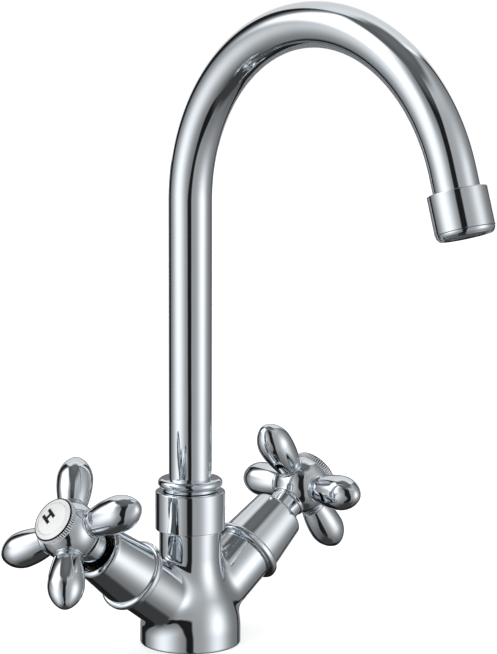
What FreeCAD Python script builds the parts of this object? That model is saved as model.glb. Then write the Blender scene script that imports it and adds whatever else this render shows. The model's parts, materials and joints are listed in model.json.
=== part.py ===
"""A two handle kitchen faucet with a swivelling swan neck spout, as separate pieces.

The faucet stands on z = 0 with the centre of its round base at the origin. The spout arches
towards -Y. The hot valve arm leans out towards -X and the cold one towards +X. Lengths are in
millimetres. Pieces of one valve share a frame whose z axis is the axis of that arm, and pieces
of the outlet share a frame at the end of the spout's arc.
"""

import FreeCAD, Part

import math
import os

import Sketcher

SIZES = {
    # Cast body
    "base_radius": 25.8,
    "base_edge": 0.6,
    "bell_foot_height": 8.0,
    "neck_radius": 15.9,
    "neck_start_height": 46.0,
    "bell_concave_share": 0.54,
    "body_top_height": 59.3,
    "spigot_radius": 14.5,
    "spigot_top_height": 72.0,
    "blend_radius": 4.0,
    "branch_radius": 15.5,
    "branch_start": 4.0,
    "branch_end": 46.9,
    "branch_edge": 0.5,
    # Places of the two valve arms
    "arm_rise_angle": 35.77,
    "arm_origin_height": 12.89,
    # Waterways
    "seat_bore_radius": 5.0,
    "seat_bore_start": 8.0,
    "seat_depth": 20.0,
    "valve_bore_radius": 10.2,
    "chamber_depth": 1.8,
    "chamber_start": 25.0,
    "chamber_end": 34.0,
    "mixing_bore_radius": 7.0,
    "mixing_bore_floor": 30.0,
    "sleeve_play": 0.06,
    "socket_floor": 46.0,
    "cross_passage_radius": 3.0,
    "cross_passage_height": 36.5,
    "cross_passage_reach": 17.5,
    # Mounting holes in the underside
    "inlet_spacing": 16.0,
    "inlet_back": 6.0,
    "inlet_tap_radius": 4.5,
    "inlet_tap_depth": 12.0,
    "inlet_passage_radius": 3.6,
    "inlet_passage_top": 22.0,
    "stud_front": 9.0,
    "stud_tap_radius": 3.4,
    "stud_tap_depth": 14.0,
    "seal_inner_radius": 20.6,
    "seal_outer_radius": 23.4,
    "seal_groove_depth": 2.4,
    "seal_play": 0.1,
    # Nut that holds the spout down
    "nut_radius": 17.9,
    "nut_top_height": 79.25,
    "nut_edge": 0.5,
    "nut_foot_edge": 0.3,
    "nut_thread_play": 0.1,
    "washer_thickness": 1.0,
    "flange_width": 1.8,
    "flange_thickness": 3.5,
    "running_gap": 0.4,
    "face_gap": 0.3,
    # Spout
    "tube_radius": 11.0,
    "tube_wall": 1.2,
    "tube_foot_height": 78.0,
    "arc_centre_height": 228.12,
    "arc_radius": 90.43,
    "arc_sweep": 162.75,
    "arc_to_nozzle": 9.03,
    "tube_in_nozzle": 8.0,
    "sleeve_bore_radius": 8.0,
    "sleeve_tenon_length": 10.0,
    "braze_gap": 0.05,
    "oring_section": 1.6,
    "oring_slack": 0.32,
    "lower_oring_height": 50.0,
    "upper_oring_height": 64.0,
    "bead_foot_radius": 14.2,
    "bead_foot_thickness": 1.35,
    "bead_waist_radius": 14.4,
    "bead_step": 0.2,
    "bead_height": 4.8,
    "bead_bulge_radius": 2.41,
    # Nozzle and aerator
    "nozzle_radius": 14.02,
    "nozzle_length": 18.2,
    "nozzle_edge": 0.5,
    "nozzle_bore_radius": 12.0,
    "housing_radius": 13.8,
    "housing_band": 3.0,
    "housing_upright": 0.9,
    "housing_taper": 1.4,
    "housing_thread_length": 7.5,
    "housing_wall": 1.0,
    "housing_lip": 0.7,
    "insert_depth": 6.0,
    "insert_hole_radius": 0.9,
    "insert_hole_circle": 7.0,
    "screen_thickness": 0.8,
    "hose_washer_thickness": 2.2,
    # Valve headwork
    "valve_foot": 21.0,
    "valve_skirt_play": 0.1,
    "valve_cavity_radius": 8.1,
    "valve_cavity_end": 34.0,
    "thrust_bore_radius": 6.2,
    "thrust_bore_end": 37.0,
    "valve_oring_start": 40.0,
    "hex_flats": 21.0,
    "hex_height": 5.1,
    "cover_thread_radius": 10.5,
    "cover_thread_end": 60.0,
    "valve_neck_radius": 6.6,
    "valve_neck_end": 72.0,
    "window_width": 8.0,
    "window_start": 29.5,
    "gland_groove_start": 64.0,
    "gland_oring_section": 1.12,
    "disc_thickness": 3.5,
    "disc_play": 0.1,
    "disc_port_radius": 6.6,
    "disc_hub_radius": 2.2,
    "disc_port_angle": 80.0,
    "drive_width": 4.0,
    "drive_depth": 1.2,
    "drive_height": 3.2,
    "seat_seal_height": 2.4,
    "seat_seal_radius": 5.4,
    # Dress ring and bonnet cover
    "dress_ring_radius": 18.8,
    "dress_ring_thickness": 4.0,
    "dress_ring_edge": 0.9,
    "dress_ring_bore": 12.5,
    "cover_foot_radius": 16.77,
    "cover_mouth_radius": 14.44,
    "cover_mouth": 77.54,
    "cover_shoulder": 2.4,
    "cover_wall": 2.4,
    "cover_thread_start": 53.0,
    "cover_lip_radius": 11.6,
    "cover_lip_height": 2.2,
    # Spindle
    "spindle_radius": 3.9,
    "spindle_play": 0.06,
    "spindle_end": 96.8,
    "thrust_radius": 5.8,
    "clip_radius": 5.6,
    "clip_thickness": 0.9,
    "clip_groove": 0.6,
    # Handle
    "hub_sphere_radius": 15.13,
    "hub_centre": 98.58,
    "hub_front_radius": 11.9,
    "hub_edge": 0.4,
    "skirt_radius": 8.6,
    "skirt_bore_radius": 7.4,
    "skirt_start": 70.0,
    "skirt_rim_radius": 9.4,
    "skirt_rim_height": 1.6,
    "skirt_bore_end": 84.0,
    "lever_centre": 97.6,
    "lever_turn_hot": -29.74,
    "lever_turn_cold": 2.83,
    "lever_seat": 13.25,
    "lever_play": 0.1,
    "lever_root_radius": 7.1,
    "lever_collar_radius": 7.4,
    "lever_collar_height": 0.9,
    "lever_groove": 0.5,
    "lever_body_start": 15.4,
    "lever_wide": 30.0,
    "lever_wide_radius": 9.18,
    "lever_tip": 43.1,
    "lever_tip_radius": 5.6,
    "lever_spigot_radius": 2.5,
    "lever_spigot_start": 8.3,
    "screw_head_radius": 3.9,
    "screw_head_height": 1.7,
    "screw_dome": 0.7,
    "screw_slot_width": 0.8,
    "screw_slot_depth": 0.9,
    "screw_radius": 2.0,
    "screw_length": 12.0,
    "screw_play": 0.15,
    "screw_end_gap": 1.0,
    "index_recess_radius": 9.7,
    "index_boss_length": 3.0,
    "index_radius": 12.1,
    "index_knurl_height": 3.0,
    "index_edge": 0.4,
    "index_rise": 1.5,
    "index_pocket_radius": 8.9,
    "index_pocket_depth": 1.4,
    "index_bore_radius": 6.5,
    "knurl_depth": 0.4,
    "knurl_margin": 0.4,
    "enamel_sunk": 0.25,
    "enamel_dome": 0.35,
}
KNURL_TEETH = 40
LEVERS = 4
INSERT_HOLES = 8
PAST = 1.0  # How far a cut reaches past the surface that it opens
NEAR = 0.05  # How far an edge may lie from the surface that it is looked for on

doc = FreeCAD.newDocument("kitchen_faucet")
sheet = doc.addObject("Spreadsheet::Sheet", "Sizes")
for row, (alias, number) in enumerate(SIZES.items(), start=1):
    sheet.set(f"A{row}", alias)
    sheet.set(f"B{row}", str(number))
    sheet.setAlias(f"B{row}", alias)
doc.recompute()


class Size:
    """A number that remembers the sheet expression it is worked out by."""

    def __init__(self, value, text):
        self.value = float(value)
        self.text = text

    def __add__(self, other):
        return Size(self.value + number_of(other), f"({self.text} + {text_of(other)})")

    def __radd__(self, other):
        return Size(number_of(other) + self.value, f"({text_of(other)} + {self.text})")

    def __sub__(self, other):
        return Size(self.value - number_of(other), f"({self.text} - {text_of(other)})")

    def __rsub__(self, other):
        return Size(number_of(other) - self.value, f"({text_of(other)} - {self.text})")

    def __mul__(self, other):
        return Size(self.value * number_of(other), f"({self.text} * {text_of(other)})")

    __rmul__ = __mul__

    def __truediv__(self, other):
        return Size(self.value / number_of(other), f"({self.text} / {text_of(other)})")

    def __neg__(self):
        return Size(-self.value, f"(0 - {self.text})")


def number_of(size):
    return size.value if isinstance(size, Size) else float(size)


def text_of(size):
    return size.text if isinstance(size, Size) else repr(float(size))


def size(alias):
    return Size(SIZES[alias], f"Sizes.{alias}")


def sine(angle):
    return Size(math.sin(math.radians(number_of(angle))), f"sin({text_of(angle)})")


def cosine(angle):
    return Size(math.cos(math.radians(number_of(angle))), f"cos({text_of(angle)})")


def root(square):
    return Size(math.sqrt(number_of(square)), f"sqrt({text_of(square)})")


# Frames: each is the text of a placement expression


def frame(x=0, y=0, z=0, axis=(0, 0, 1), angle=0):
    base = f"vector({text_of(x)}; {text_of(y)}; {text_of(z)})"
    turn = f"rotation(vector({axis[0]}; {axis[1]}; {axis[2]}); {text_of(angle)})"
    return f"placement({base}; {turn})"


X_AXIS = (1, 0, 0)
Y_AXIS = (0, 1, 0)
Z_AXIS = (0, 0, 1)
ARM_LEAN = 90 - size("arm_rise_angle")
COLD_ARM = frame(z=size("arm_origin_height"), axis=Y_AXIS, angle=ARM_LEAN)
HOT_ARM = frame(axis=Z_AXIS, angle=180) + " * " + COLD_ARM


# Sketches and features


class Arc:
    """An edge of an outline that reaches its point along an arc, bulging to its left or right."""

    def __init__(self, across, along, radius, left=True):
        self.point = (across, along)
        self.radius = radius
        self.left = left


def plane(body, role):
    return next(f for f in body.Origin.OriginFeatures if f.Role == role)


def new_sketch(body, name, role):
    sketch = body.newObject("Sketcher::SketchObject", name)
    sketch.AttachmentSupport = (plane(body, role), [""])
    sketch.MapMode = "FlatFace"
    return sketch


def bind(sketch, kind, *items, value):
    """A dimension of a sketch, tied to the sheet where it is worked out from it."""
    index = sketch.addConstraint(Sketcher.Constraint(kind, *items, number_of(value)))
    if isinstance(value, Size):
        sketch.setExpression(f"Constraints[{index}]", value.text)


def pin_point(sketch, edge, end, across, along):
    """Ties one point of a sketch to two sizes measured from the sketch's origin."""
    for kind, value, axis in (("DistanceX", across, -2), ("DistanceY", along, -1)):
        if number_of(value) == 0:
            sketch.addConstraint(Sketcher.Constraint("PointOnObject", edge, end, axis))
        else:
            bind(sketch, kind, -1, 1, edge, end, value=value)


def arc_geometry(first, last, radius, left):
    """The short arc between two points: its geometry, and which of its ends comes first."""
    chord = last - first
    half = chord.Length / 2
    side = FreeCAD.Vector(-chord.y, chord.x, 0).normalize() * (1 if left else -1)
    centre = first + chord * 0.5 - side * math.sqrt(radius**2 - half**2)
    start, end = (last, first) if left else (first, last)
    angles = [math.atan2(p.y - centre.y, p.x - centre.x) for p in (start, end)]
    circle = Part.Circle(centre, FreeCAD.Vector(0, 0, 1), radius)
    return Part.ArcOfCircle(circle, *angles), (2, 1) if left else (1, 2)


def outline(body, name, corners, role="XZ_Plane"):
    """A closed chain of lines and arcs through corners, every one of them bound to its sizes."""
    sketch = new_sketch(body, name, role)
    points = [c.point if isinstance(c, Arc) else c for c in corners]
    places = [FreeCAD.Vector(number_of(a), number_of(b), 0) for a, b in points]
    edges = []
    for index, point in enumerate(points):
        after = (index + 1) % len(points)
        target = corners[after]
        if isinstance(target, Arc):
            radius = number_of(target.radius)
            shape, ends = arc_geometry(places[index], places[after], radius, target.left)
        else:
            shape, ends = Part.LineSegment(places[index], places[after]), (1, 2)
        edge = sketch.addGeometry(shape, False)
        edges.append((edge, *ends))
        if isinstance(target, Arc):
            bind(sketch, "Radius", edge, value=target.radius)
        pin_point(sketch, edge, ends[0], *point)
    for (edge, _, end), (after, start, _) in zip(edges, edges[1:] + edges[:1]):
        sketch.addConstraint(Sketcher.Constraint("Coincident", edge, end, after, start))
    return sketch


def axis_line(sketch, first, last):
    """A construction line in a sketch, for a feature to turn about."""
    places = [FreeCAD.Vector(number_of(a), number_of(b), 0) for a, b in (first, last)]
    edge = sketch.addGeometry(Part.LineSegment(*places), True)
    pin_point(sketch, edge, 1, *first)
    pin_point(sketch, edge, 2, *last)
    return (sketch, ["Axis0"])


def new_body(label, place=None):
    body = doc.addObject("PartDesign::Body", label)
    body.Label = label
    if place:
        body.setExpression("Placement", place)
    return body


def turn(body, name, sketch, axis=None, cut=False):
    """Revolves a sketch about its own vertical axis, or another, as added or removed material."""
    kind = "PartDesign::Groove" if cut else "PartDesign::Revolution"
    feature = body.newObject(kind, name)
    feature.Profile = sketch
    feature.ReferenceAxis = axis or (sketch, ["V_Axis"])
    feature.Angle = 360
    return feature


def turned(label, corners, place=None):
    """A piece made on a lathe: one outline revolved about its z axis."""
    body = new_body(label, place)
    turn(body, label + "_turned", outline(body, label + "_outline", corners))
    return body


def bored(body, name, corners):
    """A stepped bore about the z axis of a body."""
    turn(body, name, outline(body, name + "_outline", corners), cut=True)


def ring(inner, outer, low, high):
    """The outline of a plain ring."""
    return [(inner, low), (outer, low), (outer, high), (inner, high)]


def circle_sketch(body, name, role, across, along, radius):
    sketch = new_sketch(body, name, role)
    centre = FreeCAD.Vector(number_of(across), number_of(along), 0)
    circle = Part.Circle(centre, FreeCAD.Vector(0, 0, 1), number_of(radius))
    edge = sketch.addGeometry(circle, False)
    pin_point(sketch, edge, 3, across, along)
    bind(sketch, "Radius", edge, value=radius)
    return sketch


def pocket(body, name, sketch, length, up=False, midplane=False):
    """Removes a sketch's area along its plane's normal, downwards unless up is set."""
    feature = body.newObject("PartDesign::Pocket", name)
    feature.Profile = sketch
    feature.Reversed = up
    feature.Midplane = midplane
    feature.setExpression("Length", text_of(length))
    return feature


def pad(body, name, sketch, length):
    """Adds a sketch's area along its plane's normal."""
    feature = body.newObject("PartDesign::Pad", name)
    feature.Profile = sketch
    feature.setExpression("Length", text_of(length))


def repeated(body, name, feature, count):
    """Copies a feature round the z axis of its body."""
    pattern = body.newObject("PartDesign::PolarPattern", name)
    pattern.Originals = [feature]
    pattern.Axis = (plane(body, "Z_Axis"), [""])
    pattern.Angle = 360
    pattern.Occurrences = count
    body.Tip = pattern


def cap_radius(across, dome):
    """Radius of the sphere whose cap has this radius and height."""
    return (across * across + dome * dome) / (2 * dome)


# Cast body


def arm_point(side, along, across):
    """A point of the x-z plane, given along a valve arm's axis and across it, upwards."""
    rise = size("arm_rise_angle")
    reach = cosine(rise) * along - sine(rise) * across
    height = size("arm_origin_height") + sine(rise) * along + cosine(rise) * across
    return (side * reach, height)


def arm_turned(body, name, side, corners, cut=False):
    """Material added or removed about one valve arm's axis, from (radius, distance) corners."""
    points = [arm_point(side, along, radius) for radius, along in corners]
    sketch = outline(body, name + "_outline", points)
    axis = axis_line(sketch, arm_point(side, 0, 0), arm_point(side, size("branch_end"), 0))
    turn(body, name, sketch, axis, cut)


def bell_outline():
    """The foot, the waisted bell as two tangent arcs, the neck and the threaded spigot."""
    wide, narrow = size("base_radius"), size("neck_radius")
    low, high = size("bell_foot_height"), size("neck_start_height")
    sway = wide - narrow
    both = ((high - low) * (high - low) + sway * sway) / (2 * sway)
    concave = both * size("bell_concave_share")
    convex = both - concave
    meet_across = narrow + concave - (both - sway) * size("bell_concave_share")
    meet_height = high - (high - low) * size("bell_concave_share")
    edge = size("base_edge")
    return [
        (0, 0),
        (wide - edge, 0),
        (wide, edge),
        (wide, low),
        Arc(meet_across, meet_height, convex, left=False),
        Arc(narrow, high, concave),
        (narrow, size("body_top_height")),
        (size("spigot_radius"), size("body_top_height")),
        (size("spigot_radius"), size("spigot_top_height")),
        (0, size("spigot_top_height")),
    ]


def blend_edges(shape):
    """The edges where the two branches meet the bell."""
    rise = math.radians(SIZES["arm_rise_angle"])
    limit = SIZES["branch_end"] - 2 * SIZES["branch_edge"]
    found = []
    for index, edge in enumerate(shape.Edges, start=1):
        middle = edge.valueAt((edge.FirstParameter + edge.LastParameter) / 2)
        height = middle.z - SIZES["arm_origin_height"]
        along = abs(middle.x) * math.cos(rise) + height * math.sin(rise)
        across = -abs(middle.x) * math.sin(rise) + height * math.cos(rise)
        off_axis = math.hypot(across, middle.y)
        on_branch = abs(off_axis - SIZES["branch_radius"]) < NEAR
        straight = isinstance(edge.Curve, Part.Line)
        if on_branch and along < limit and not straight:
            found.append(f"Edge{index}")
    return found


def make_mixer_body():
    body = new_body("mixer_body")
    turn(body, "bell", outline(body, "bell_outline", bell_outline()))
    end, edge = size("branch_end"), size("branch_edge")
    radius = size("branch_radius")
    branch = [
        (0, size("branch_start")),
        (radius, size("branch_start")),
        (radius, end - edge),
        (radius - edge, end),
        (0, end),
    ]
    for name, side in (("hot_branch", -1), ("cold_branch", 1)):
        arm_turned(body, name, side, branch)
    doc.recompute()
    joined = body.Tip
    blend = body.newObject("PartDesign::Fillet", "branch_blend")
    blend.Base = (joined, blend_edges(joined.Shape))
    blend.setExpression("Radius", "Sizes.blend_radius")
    doc.recompute()
    socket = size("tube_radius") + size("sleeve_play")
    bored(body, "mixing_bore", [
        (0, size("mixing_bore_floor")),
        (size("mixing_bore_radius"), size("mixing_bore_floor")),
        (size("mixing_bore_radius"), size("socket_floor")),
        (socket, size("socket_floor")),
        (socket, size("spigot_top_height")),
        (0, size("spigot_top_height")),
    ])
    chamber = size("valve_bore_radius") + size("chamber_depth")
    valve_bore = [
        (0, size("seat_bore_start")),
        (size("seat_bore_radius"), size("seat_bore_start")),
        (size("seat_bore_radius"), size("seat_depth")),
        (size("valve_bore_radius"), size("seat_depth")),
        (size("valve_bore_radius"), size("chamber_start")),
        (chamber, size("chamber_start")),
        (chamber, size("chamber_end")),
        (size("valve_bore_radius"), size("chamber_end")),
        (size("valve_bore_radius"), end),
        (0, end),
    ]
    for name, side in (("hot_valve_bore", -1), ("cold_valve_bore", 1)):
        arm_turned(body, name, side, valve_bore, cut=True)
    passage = circle_sketch(
        body, "cross_passage_outline", "YZ_Plane", 0, size("cross_passage_height"),
        size("cross_passage_radius"),
    )
    pocket(body, "cross_passage", passage, 2 * size("cross_passage_reach"), midplane=True)
    for name, side in (("hot_inlet", -1), ("cold_inlet", 1)):
        place = (side * size("inlet_spacing") / 2, size("inlet_back"))
        for part, width, depth in (
            ("thread", size("inlet_tap_radius"), size("inlet_tap_depth")),
            ("passage", size("inlet_passage_radius"), size("inlet_passage_top")),
        ):
            sketch = circle_sketch(body, f"{name}_{part}_outline", "XY_Plane", *place, width)
            pocket(body, f"{name}_{part}", sketch, depth, up=True)
    sketch = circle_sketch(
        body, "stud_hole_outline", "XY_Plane", 0, -size("stud_front"), size("stud_tap_radius")
    )
    pocket(body, "stud_hole", sketch, size("stud_tap_depth"), up=True)
    bored(body, "seal_groove", ring(
        size("seal_inner_radius"), size("seal_outer_radius"), 0, size("seal_groove_depth")
    ))


def sleeve_flange():
    """Radius of the flange that the nut holds the spout by."""
    return size("tube_radius") + size("flange_width")


def make_base_pieces():
    play = size("seal_play")
    turned("base_seal", ring(
        size("seal_inner_radius") + play, size("seal_outer_radius") - play,
        0, size("seal_groove_depth") - play,
    ))
    washer_top = size("spigot_top_height") + size("washer_thickness")
    flange_top = washer_top + size("flange_thickness")
    nut, top = size("nut_radius"), size("nut_top_height")
    foot, foot_edge, edge = size("body_top_height"), size("nut_foot_edge"), size("nut_edge")
    thread = size("spigot_radius") + size("nut_thread_play")
    cavity = sleeve_flange() + size("running_gap")
    lip = size("tube_radius") + size("running_gap")
    turned("spout_nut", [
        (thread, foot),
        (nut - foot_edge, foot),
        (nut, foot + foot_edge),
        (nut, top - edge),
        (nut - edge, top),
        (lip, top),
        (lip, flange_top + size("face_gap")),
        (cavity, flange_top + size("face_gap")),
        (cavity, size("spigot_top_height")),
        (thread, size("spigot_top_height")),
    ])
    turned("swivel_washer", ring(
        size("tube_radius") + size("running_gap"), sleeve_flange(),
        size("spigot_top_height"), washer_top,
    ))


# Spout


def arc_end():
    """Height and forward reach of the end of the spout's arc."""
    radius, sweep = size("arc_radius"), size("arc_sweep")
    forward = -radius + radius * cosine(sweep)
    height = size("arc_centre_height") + radius * sine(sweep)
    return forward, height


def outlet_frame():
    forward, height = arc_end()
    return frame(y=forward, z=height, axis=X_AXIS, angle=size("arc_sweep"))


def make_spout_tube():
    body = new_body("spout_tube")
    foot = size("tube_foot_height")
    sweep, straight = size("arc_sweep"), size("arc_to_nozzle") + size("tube_in_nozzle")
    forward, height = arc_end()
    route = new_sketch(body, "spout_route", "YZ_Plane")
    places = [(0, foot), (0, size("arc_centre_height")), (forward, height),
              (forward - straight * sine(sweep), height + straight * cosine(sweep))]
    spots = [FreeCAD.Vector(number_of(a), number_of(b), 0) for a, b in places]
    centre = FreeCAD.Vector(-SIZES["arc_radius"], SIZES["arc_centre_height"], 0)
    circle = Part.Circle(centre, FreeCAD.Vector(0, 0, 1), SIZES["arc_radius"])
    bend = Part.ArcOfCircle(circle, 0, math.radians(SIZES["arc_sweep"]))
    riser = route.addGeometry(Part.LineSegment(spots[0], spots[1]), False)
    bend = route.addGeometry(bend, False)
    drop = route.addGeometry(Part.LineSegment(spots[2], spots[3]), False)
    pin_point(route, riser, 1, *places[0])
    pin_point(route, riser, 2, *places[1])
    route.addConstraint(Sketcher.Constraint("Coincident", riser, 2, bend, 1))
    bind(route, "Radius", bend, value=size("arc_radius"))
    pin_point(route, bend, 2, *places[2])
    route.addConstraint(Sketcher.Constraint("Coincident", bend, 2, drop, 1))
    pin_point(route, drop, 2, *places[3])
    wall = new_sketch(body, "spout_wall", "XY_Plane")
    wall.setExpression("AttachmentOffset", frame(z=foot))
    for name, radius in (
        ("outside", size("tube_radius")),
        ("inside", size("tube_radius") - size("tube_wall")),
    ):
        circle = Part.Circle(FreeCAD.Vector(0, 0, 0), FreeCAD.Vector(0, 0, 1), number_of(radius))
        edge = wall.addGeometry(circle, False)
        wall.addConstraint(Sketcher.Constraint("Coincident", edge, 3, -1, 1))
        bind(wall, "Radius", edge, value=radius)
    doc.recompute()
    tube = body.newObject("PartDesign::AdditivePipe", "bent_tube")
    tube.Profile = wall
    tube.Spine = (route, [])
    tube.Mode = "Standard"
    tube.Transition = "Transformed"


def oring_groove(outer, start):
    """Corners of an O-ring's groove, cut into an outside radius."""
    depth = size("oring_section") + size("seal_play") / 2
    end = start + size("oring_section") + size("oring_slack")
    return [(outer, start), (outer - depth, start), (outer - depth, end), (outer, end)]


def oring_outline(outer, start, section):
    """An O-ring that lies in the middle of its groove, its section drawn with eight sides."""
    low = start + size("oring_slack") / 2
    inner, high = outer - section, low + section
    side = section / (2 + root(Size(2, "2")))
    return [
        (inner + side, low), (outer - side, low), (outer, low + side), (outer, high - side),
        (outer - side, high), (inner + side, high), (inner, high - side), (inner, low + side),
    ]


def make_spout_foot():
    """The brazed sleeve that turns in the body's socket, its seals and the trim bead."""
    washer_top = size("spigot_top_height") + size("washer_thickness")
    face = washer_top
    flange_top = face + size("flange_thickness")
    outer, bore = size("tube_radius"), size("sleeve_bore_radius")
    tenon = outer - size("tube_wall") - size("braze_gap")
    foot = size("tube_foot_height")
    sleeve = new_body("spout_sleeve")
    corners = [(bore, size("socket_floor") + size("face_gap"))]
    corners.append((outer, size("socket_floor") + size("face_gap")))
    for start in (size("lower_oring_height"), size("upper_oring_height")):
        corners += oring_groove(outer, start)
    corners += [
        (outer, face),
        (sleeve_flange(), face),
        (sleeve_flange(), flange_top),
        (outer, flange_top),
        (outer, foot),
        (tenon, foot),
        (tenon, foot + size("sleeve_tenon_length")),
        (bore, foot + size("sleeve_tenon_length")),
    ]
    turn(sleeve, "sleeve_turned", outline(sleeve, "sleeve_outline", corners))

    rings = [
        turned(name + "_spout_o_ring", oring_outline(outer, start, size("oring_section")))
        for name, start in (
            ("lower", size("lower_oring_height")), ("upper", size("upper_oring_height")),
        )
    ]
    pair = doc.addObject("Part::Compound", "spout_o_rings")
    pair.Label = "spout_o_rings"
    pair.Links = rings

    inner, waist = outer + size("braze_gap"), size("bead_waist_radius")
    start = size("nut_top_height") + size("face_gap")
    foot_end = start + size("bead_foot_thickness")
    low = foot_end + size("bead_step")
    high = low + size("bead_height")
    turned("bead_ring", [
        (inner, start),
        (size("bead_foot_radius"), start),
        (size("bead_foot_radius"), foot_end),
        (waist, low),
        Arc(waist, high, size("bead_bulge_radius"), left=False),
        (inner, high + size("bead_step")),
    ])


def make_outlet():
    place = outlet_frame()
    top = size("arc_to_nozzle")
    tube_end = top + size("tube_in_nozzle")
    inner = size("tube_radius") + size("braze_gap")
    bore, outer, edge = size("nozzle_bore_radius"), size("nozzle_radius"), size("nozzle_edge")
    bottom = top + size("nozzle_length")
    turned("nozzle", [
        (inner, top),
        (outer - edge, top),
        (outer, top + edge),
        (outer, bottom),
        (bore, bottom),
        (bore, tube_end),
        (inner, tube_end),
    ], place)
    play = size("seal_play")
    thread = bore - play
    wall = thread - size("housing_wall")
    band_end = bottom + size("housing_band")
    lip = wall - size("housing_lip")
    rim = size("housing_radius")
    turned("aerator_housing", [
        (wall, bottom - size("housing_thread_length")),
        (thread, bottom - size("housing_thread_length")),
        (thread, bottom + play),
        (rim, bottom + play),
        (rim, bottom + size("housing_upright")),
        (rim - size("housing_taper"), band_end),
        (lip, band_end),
        (lip, band_end - edge),
        (wall, band_end - edge),
    ], place)
    screen_low = band_end - edge - size("screen_thickness")
    turned("aerator_screen", [
        (0, screen_low), (wall - play, screen_low),
        (wall - play, band_end - edge), (0, band_end - edge),
    ], place)
    insert_radius = wall - play
    insert = turned("aerator_insert", [
        (0, screen_low - size("insert_depth")),
        (insert_radius, screen_low - size("insert_depth")),
        (insert_radius, screen_low),
        (0, screen_low),
    ], place)
    doc.recompute()
    hole = circle_sketch(insert, "insert_hole_outline", "XY_Plane", size("insert_hole_circle"), 0,
                         size("insert_hole_radius"))
    drilled = pocket(insert, "insert_hole", hole, band_end, up=True)
    doc.recompute()
    repeated(insert, "insert_holes", drilled, INSERT_HOLES)
    turned("aerator_washer", ring(
        insert_radius - size("hose_washer_thickness"), bore - play,
        tube_end, tube_end + size("hose_washer_thickness"),
    ), place)


# Valves


def valve_outline():
    """Skirt with a seal groove, and the two necks of the headwork, as a solid of revolution."""
    skirt = size("valve_bore_radius") - size("valve_skirt_play")
    return [
        (0, size("valve_foot")),
        (skirt, size("valve_foot")),
        *oring_groove(skirt, size("valve_oring_start")),
        (skirt, size("branch_end")),
        (size("cover_thread_radius"), size("branch_end")),
        (size("cover_thread_radius"), size("cover_thread_end")),
        (size("valve_neck_radius"), size("cover_thread_end")),
        (size("valve_neck_radius"), size("valve_neck_end")),
        (0, size("valve_neck_end")),
    ]


def make_valve_body(side, arm):
    body = new_body(side + "_valve_body", arm)
    turn(body, side + "_valve_blank", outline(body, side + "_valve_outline", valve_outline()))
    doc.recompute()
    hexagon = body.newObject("PartDesign::AdditivePrism", side + "_valve_hexagon")
    hexagon.Polygon = 6
    hexagon.setExpression("Circumradius", (size("hex_flats") / (2 * cosine(30))).text)
    hexagon.setExpression("Height", "Sizes.hex_height")
    hexagon.AttachmentSupport = (plane(body, "XY_Plane"), [""])
    hexagon.MapMode = "FlatFace"
    hexagon.setExpression("AttachmentOffset", frame(z=size("branch_end")))
    doc.recompute()
    bore = size("spindle_radius") + size("spindle_play")
    gland, section = size("gland_groove_start"), size("gland_oring_section")
    gland_end = gland + section + size("oring_slack")
    gland_radius = bore + section + size("seal_play")
    bored(body, side + "_valve_core", [
        (0, size("valve_foot")),
        (size("valve_cavity_radius"), size("valve_foot")),
        (size("valve_cavity_radius"), size("valve_cavity_end")),
        (size("thrust_bore_radius"), size("valve_cavity_end")),
        (size("thrust_bore_radius"), size("thrust_bore_end")),
        (bore, size("thrust_bore_end")),
        (bore, gland),
        (gland_radius, gland),
        (gland_radius, gland_end),
        (bore, gland_end),
        (bore, size("valve_neck_end")),
        (0, size("valve_neck_end")),
    ])
    half = size("window_width") / 2
    window = outline(body, side + "_window_outline", [
        (-half, size("window_start")),
        (half, size("window_start")),
        (half, size("valve_cavity_end")),
        (-half, size("valve_cavity_end")),
    ])
    pocket(body, side + "_windows", window, 3 * size("valve_bore_radius"), midplane=True)


def port_outline(body, name):
    """One sector shaped port of a ceramic disc."""
    half = size("disc_port_angle") / 2
    near, far = size("disc_hub_radius"), size("disc_port_radius")
    return outline(body, name, [
        Arc(near * cosine(half), -(near * sine(half)), near),
        (far * cosine(half), -(far * sine(half))),
        Arc(far * cosine(half), far * sine(half), far, left=False),
        (near * cosine(half), near * sine(half)),
    ], role="XY_Plane")


def make_disc(label, start, place, slot):
    radius = size("valve_cavity_radius") - (size("running_gap") if slot else size("disc_play"))
    end = start + size("disc_thickness")
    body = turned(label, [(0, start), (radius, start), (radius, end), (0, end)], place)
    doc.recompute()
    port = pocket(body, label + "_port", port_outline(body, label + "_port_outline"), end, up=True)
    doc.recompute()
    repeated(body, label + "_ports", port, 2)
    if slot:
        doc.recompute()
        half = (size("drive_width") + size("disc_play")) / 2
        floor = end - size("drive_depth")
        groove = outline(body, label + "_slot_outline", [
            (-half, floor), (half, floor), (half, end + PAST), (-half, end + PAST),
        ])
        pocket(body, label + "_slot", groove, 2 * size("valve_cavity_radius"), midplane=True)


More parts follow.
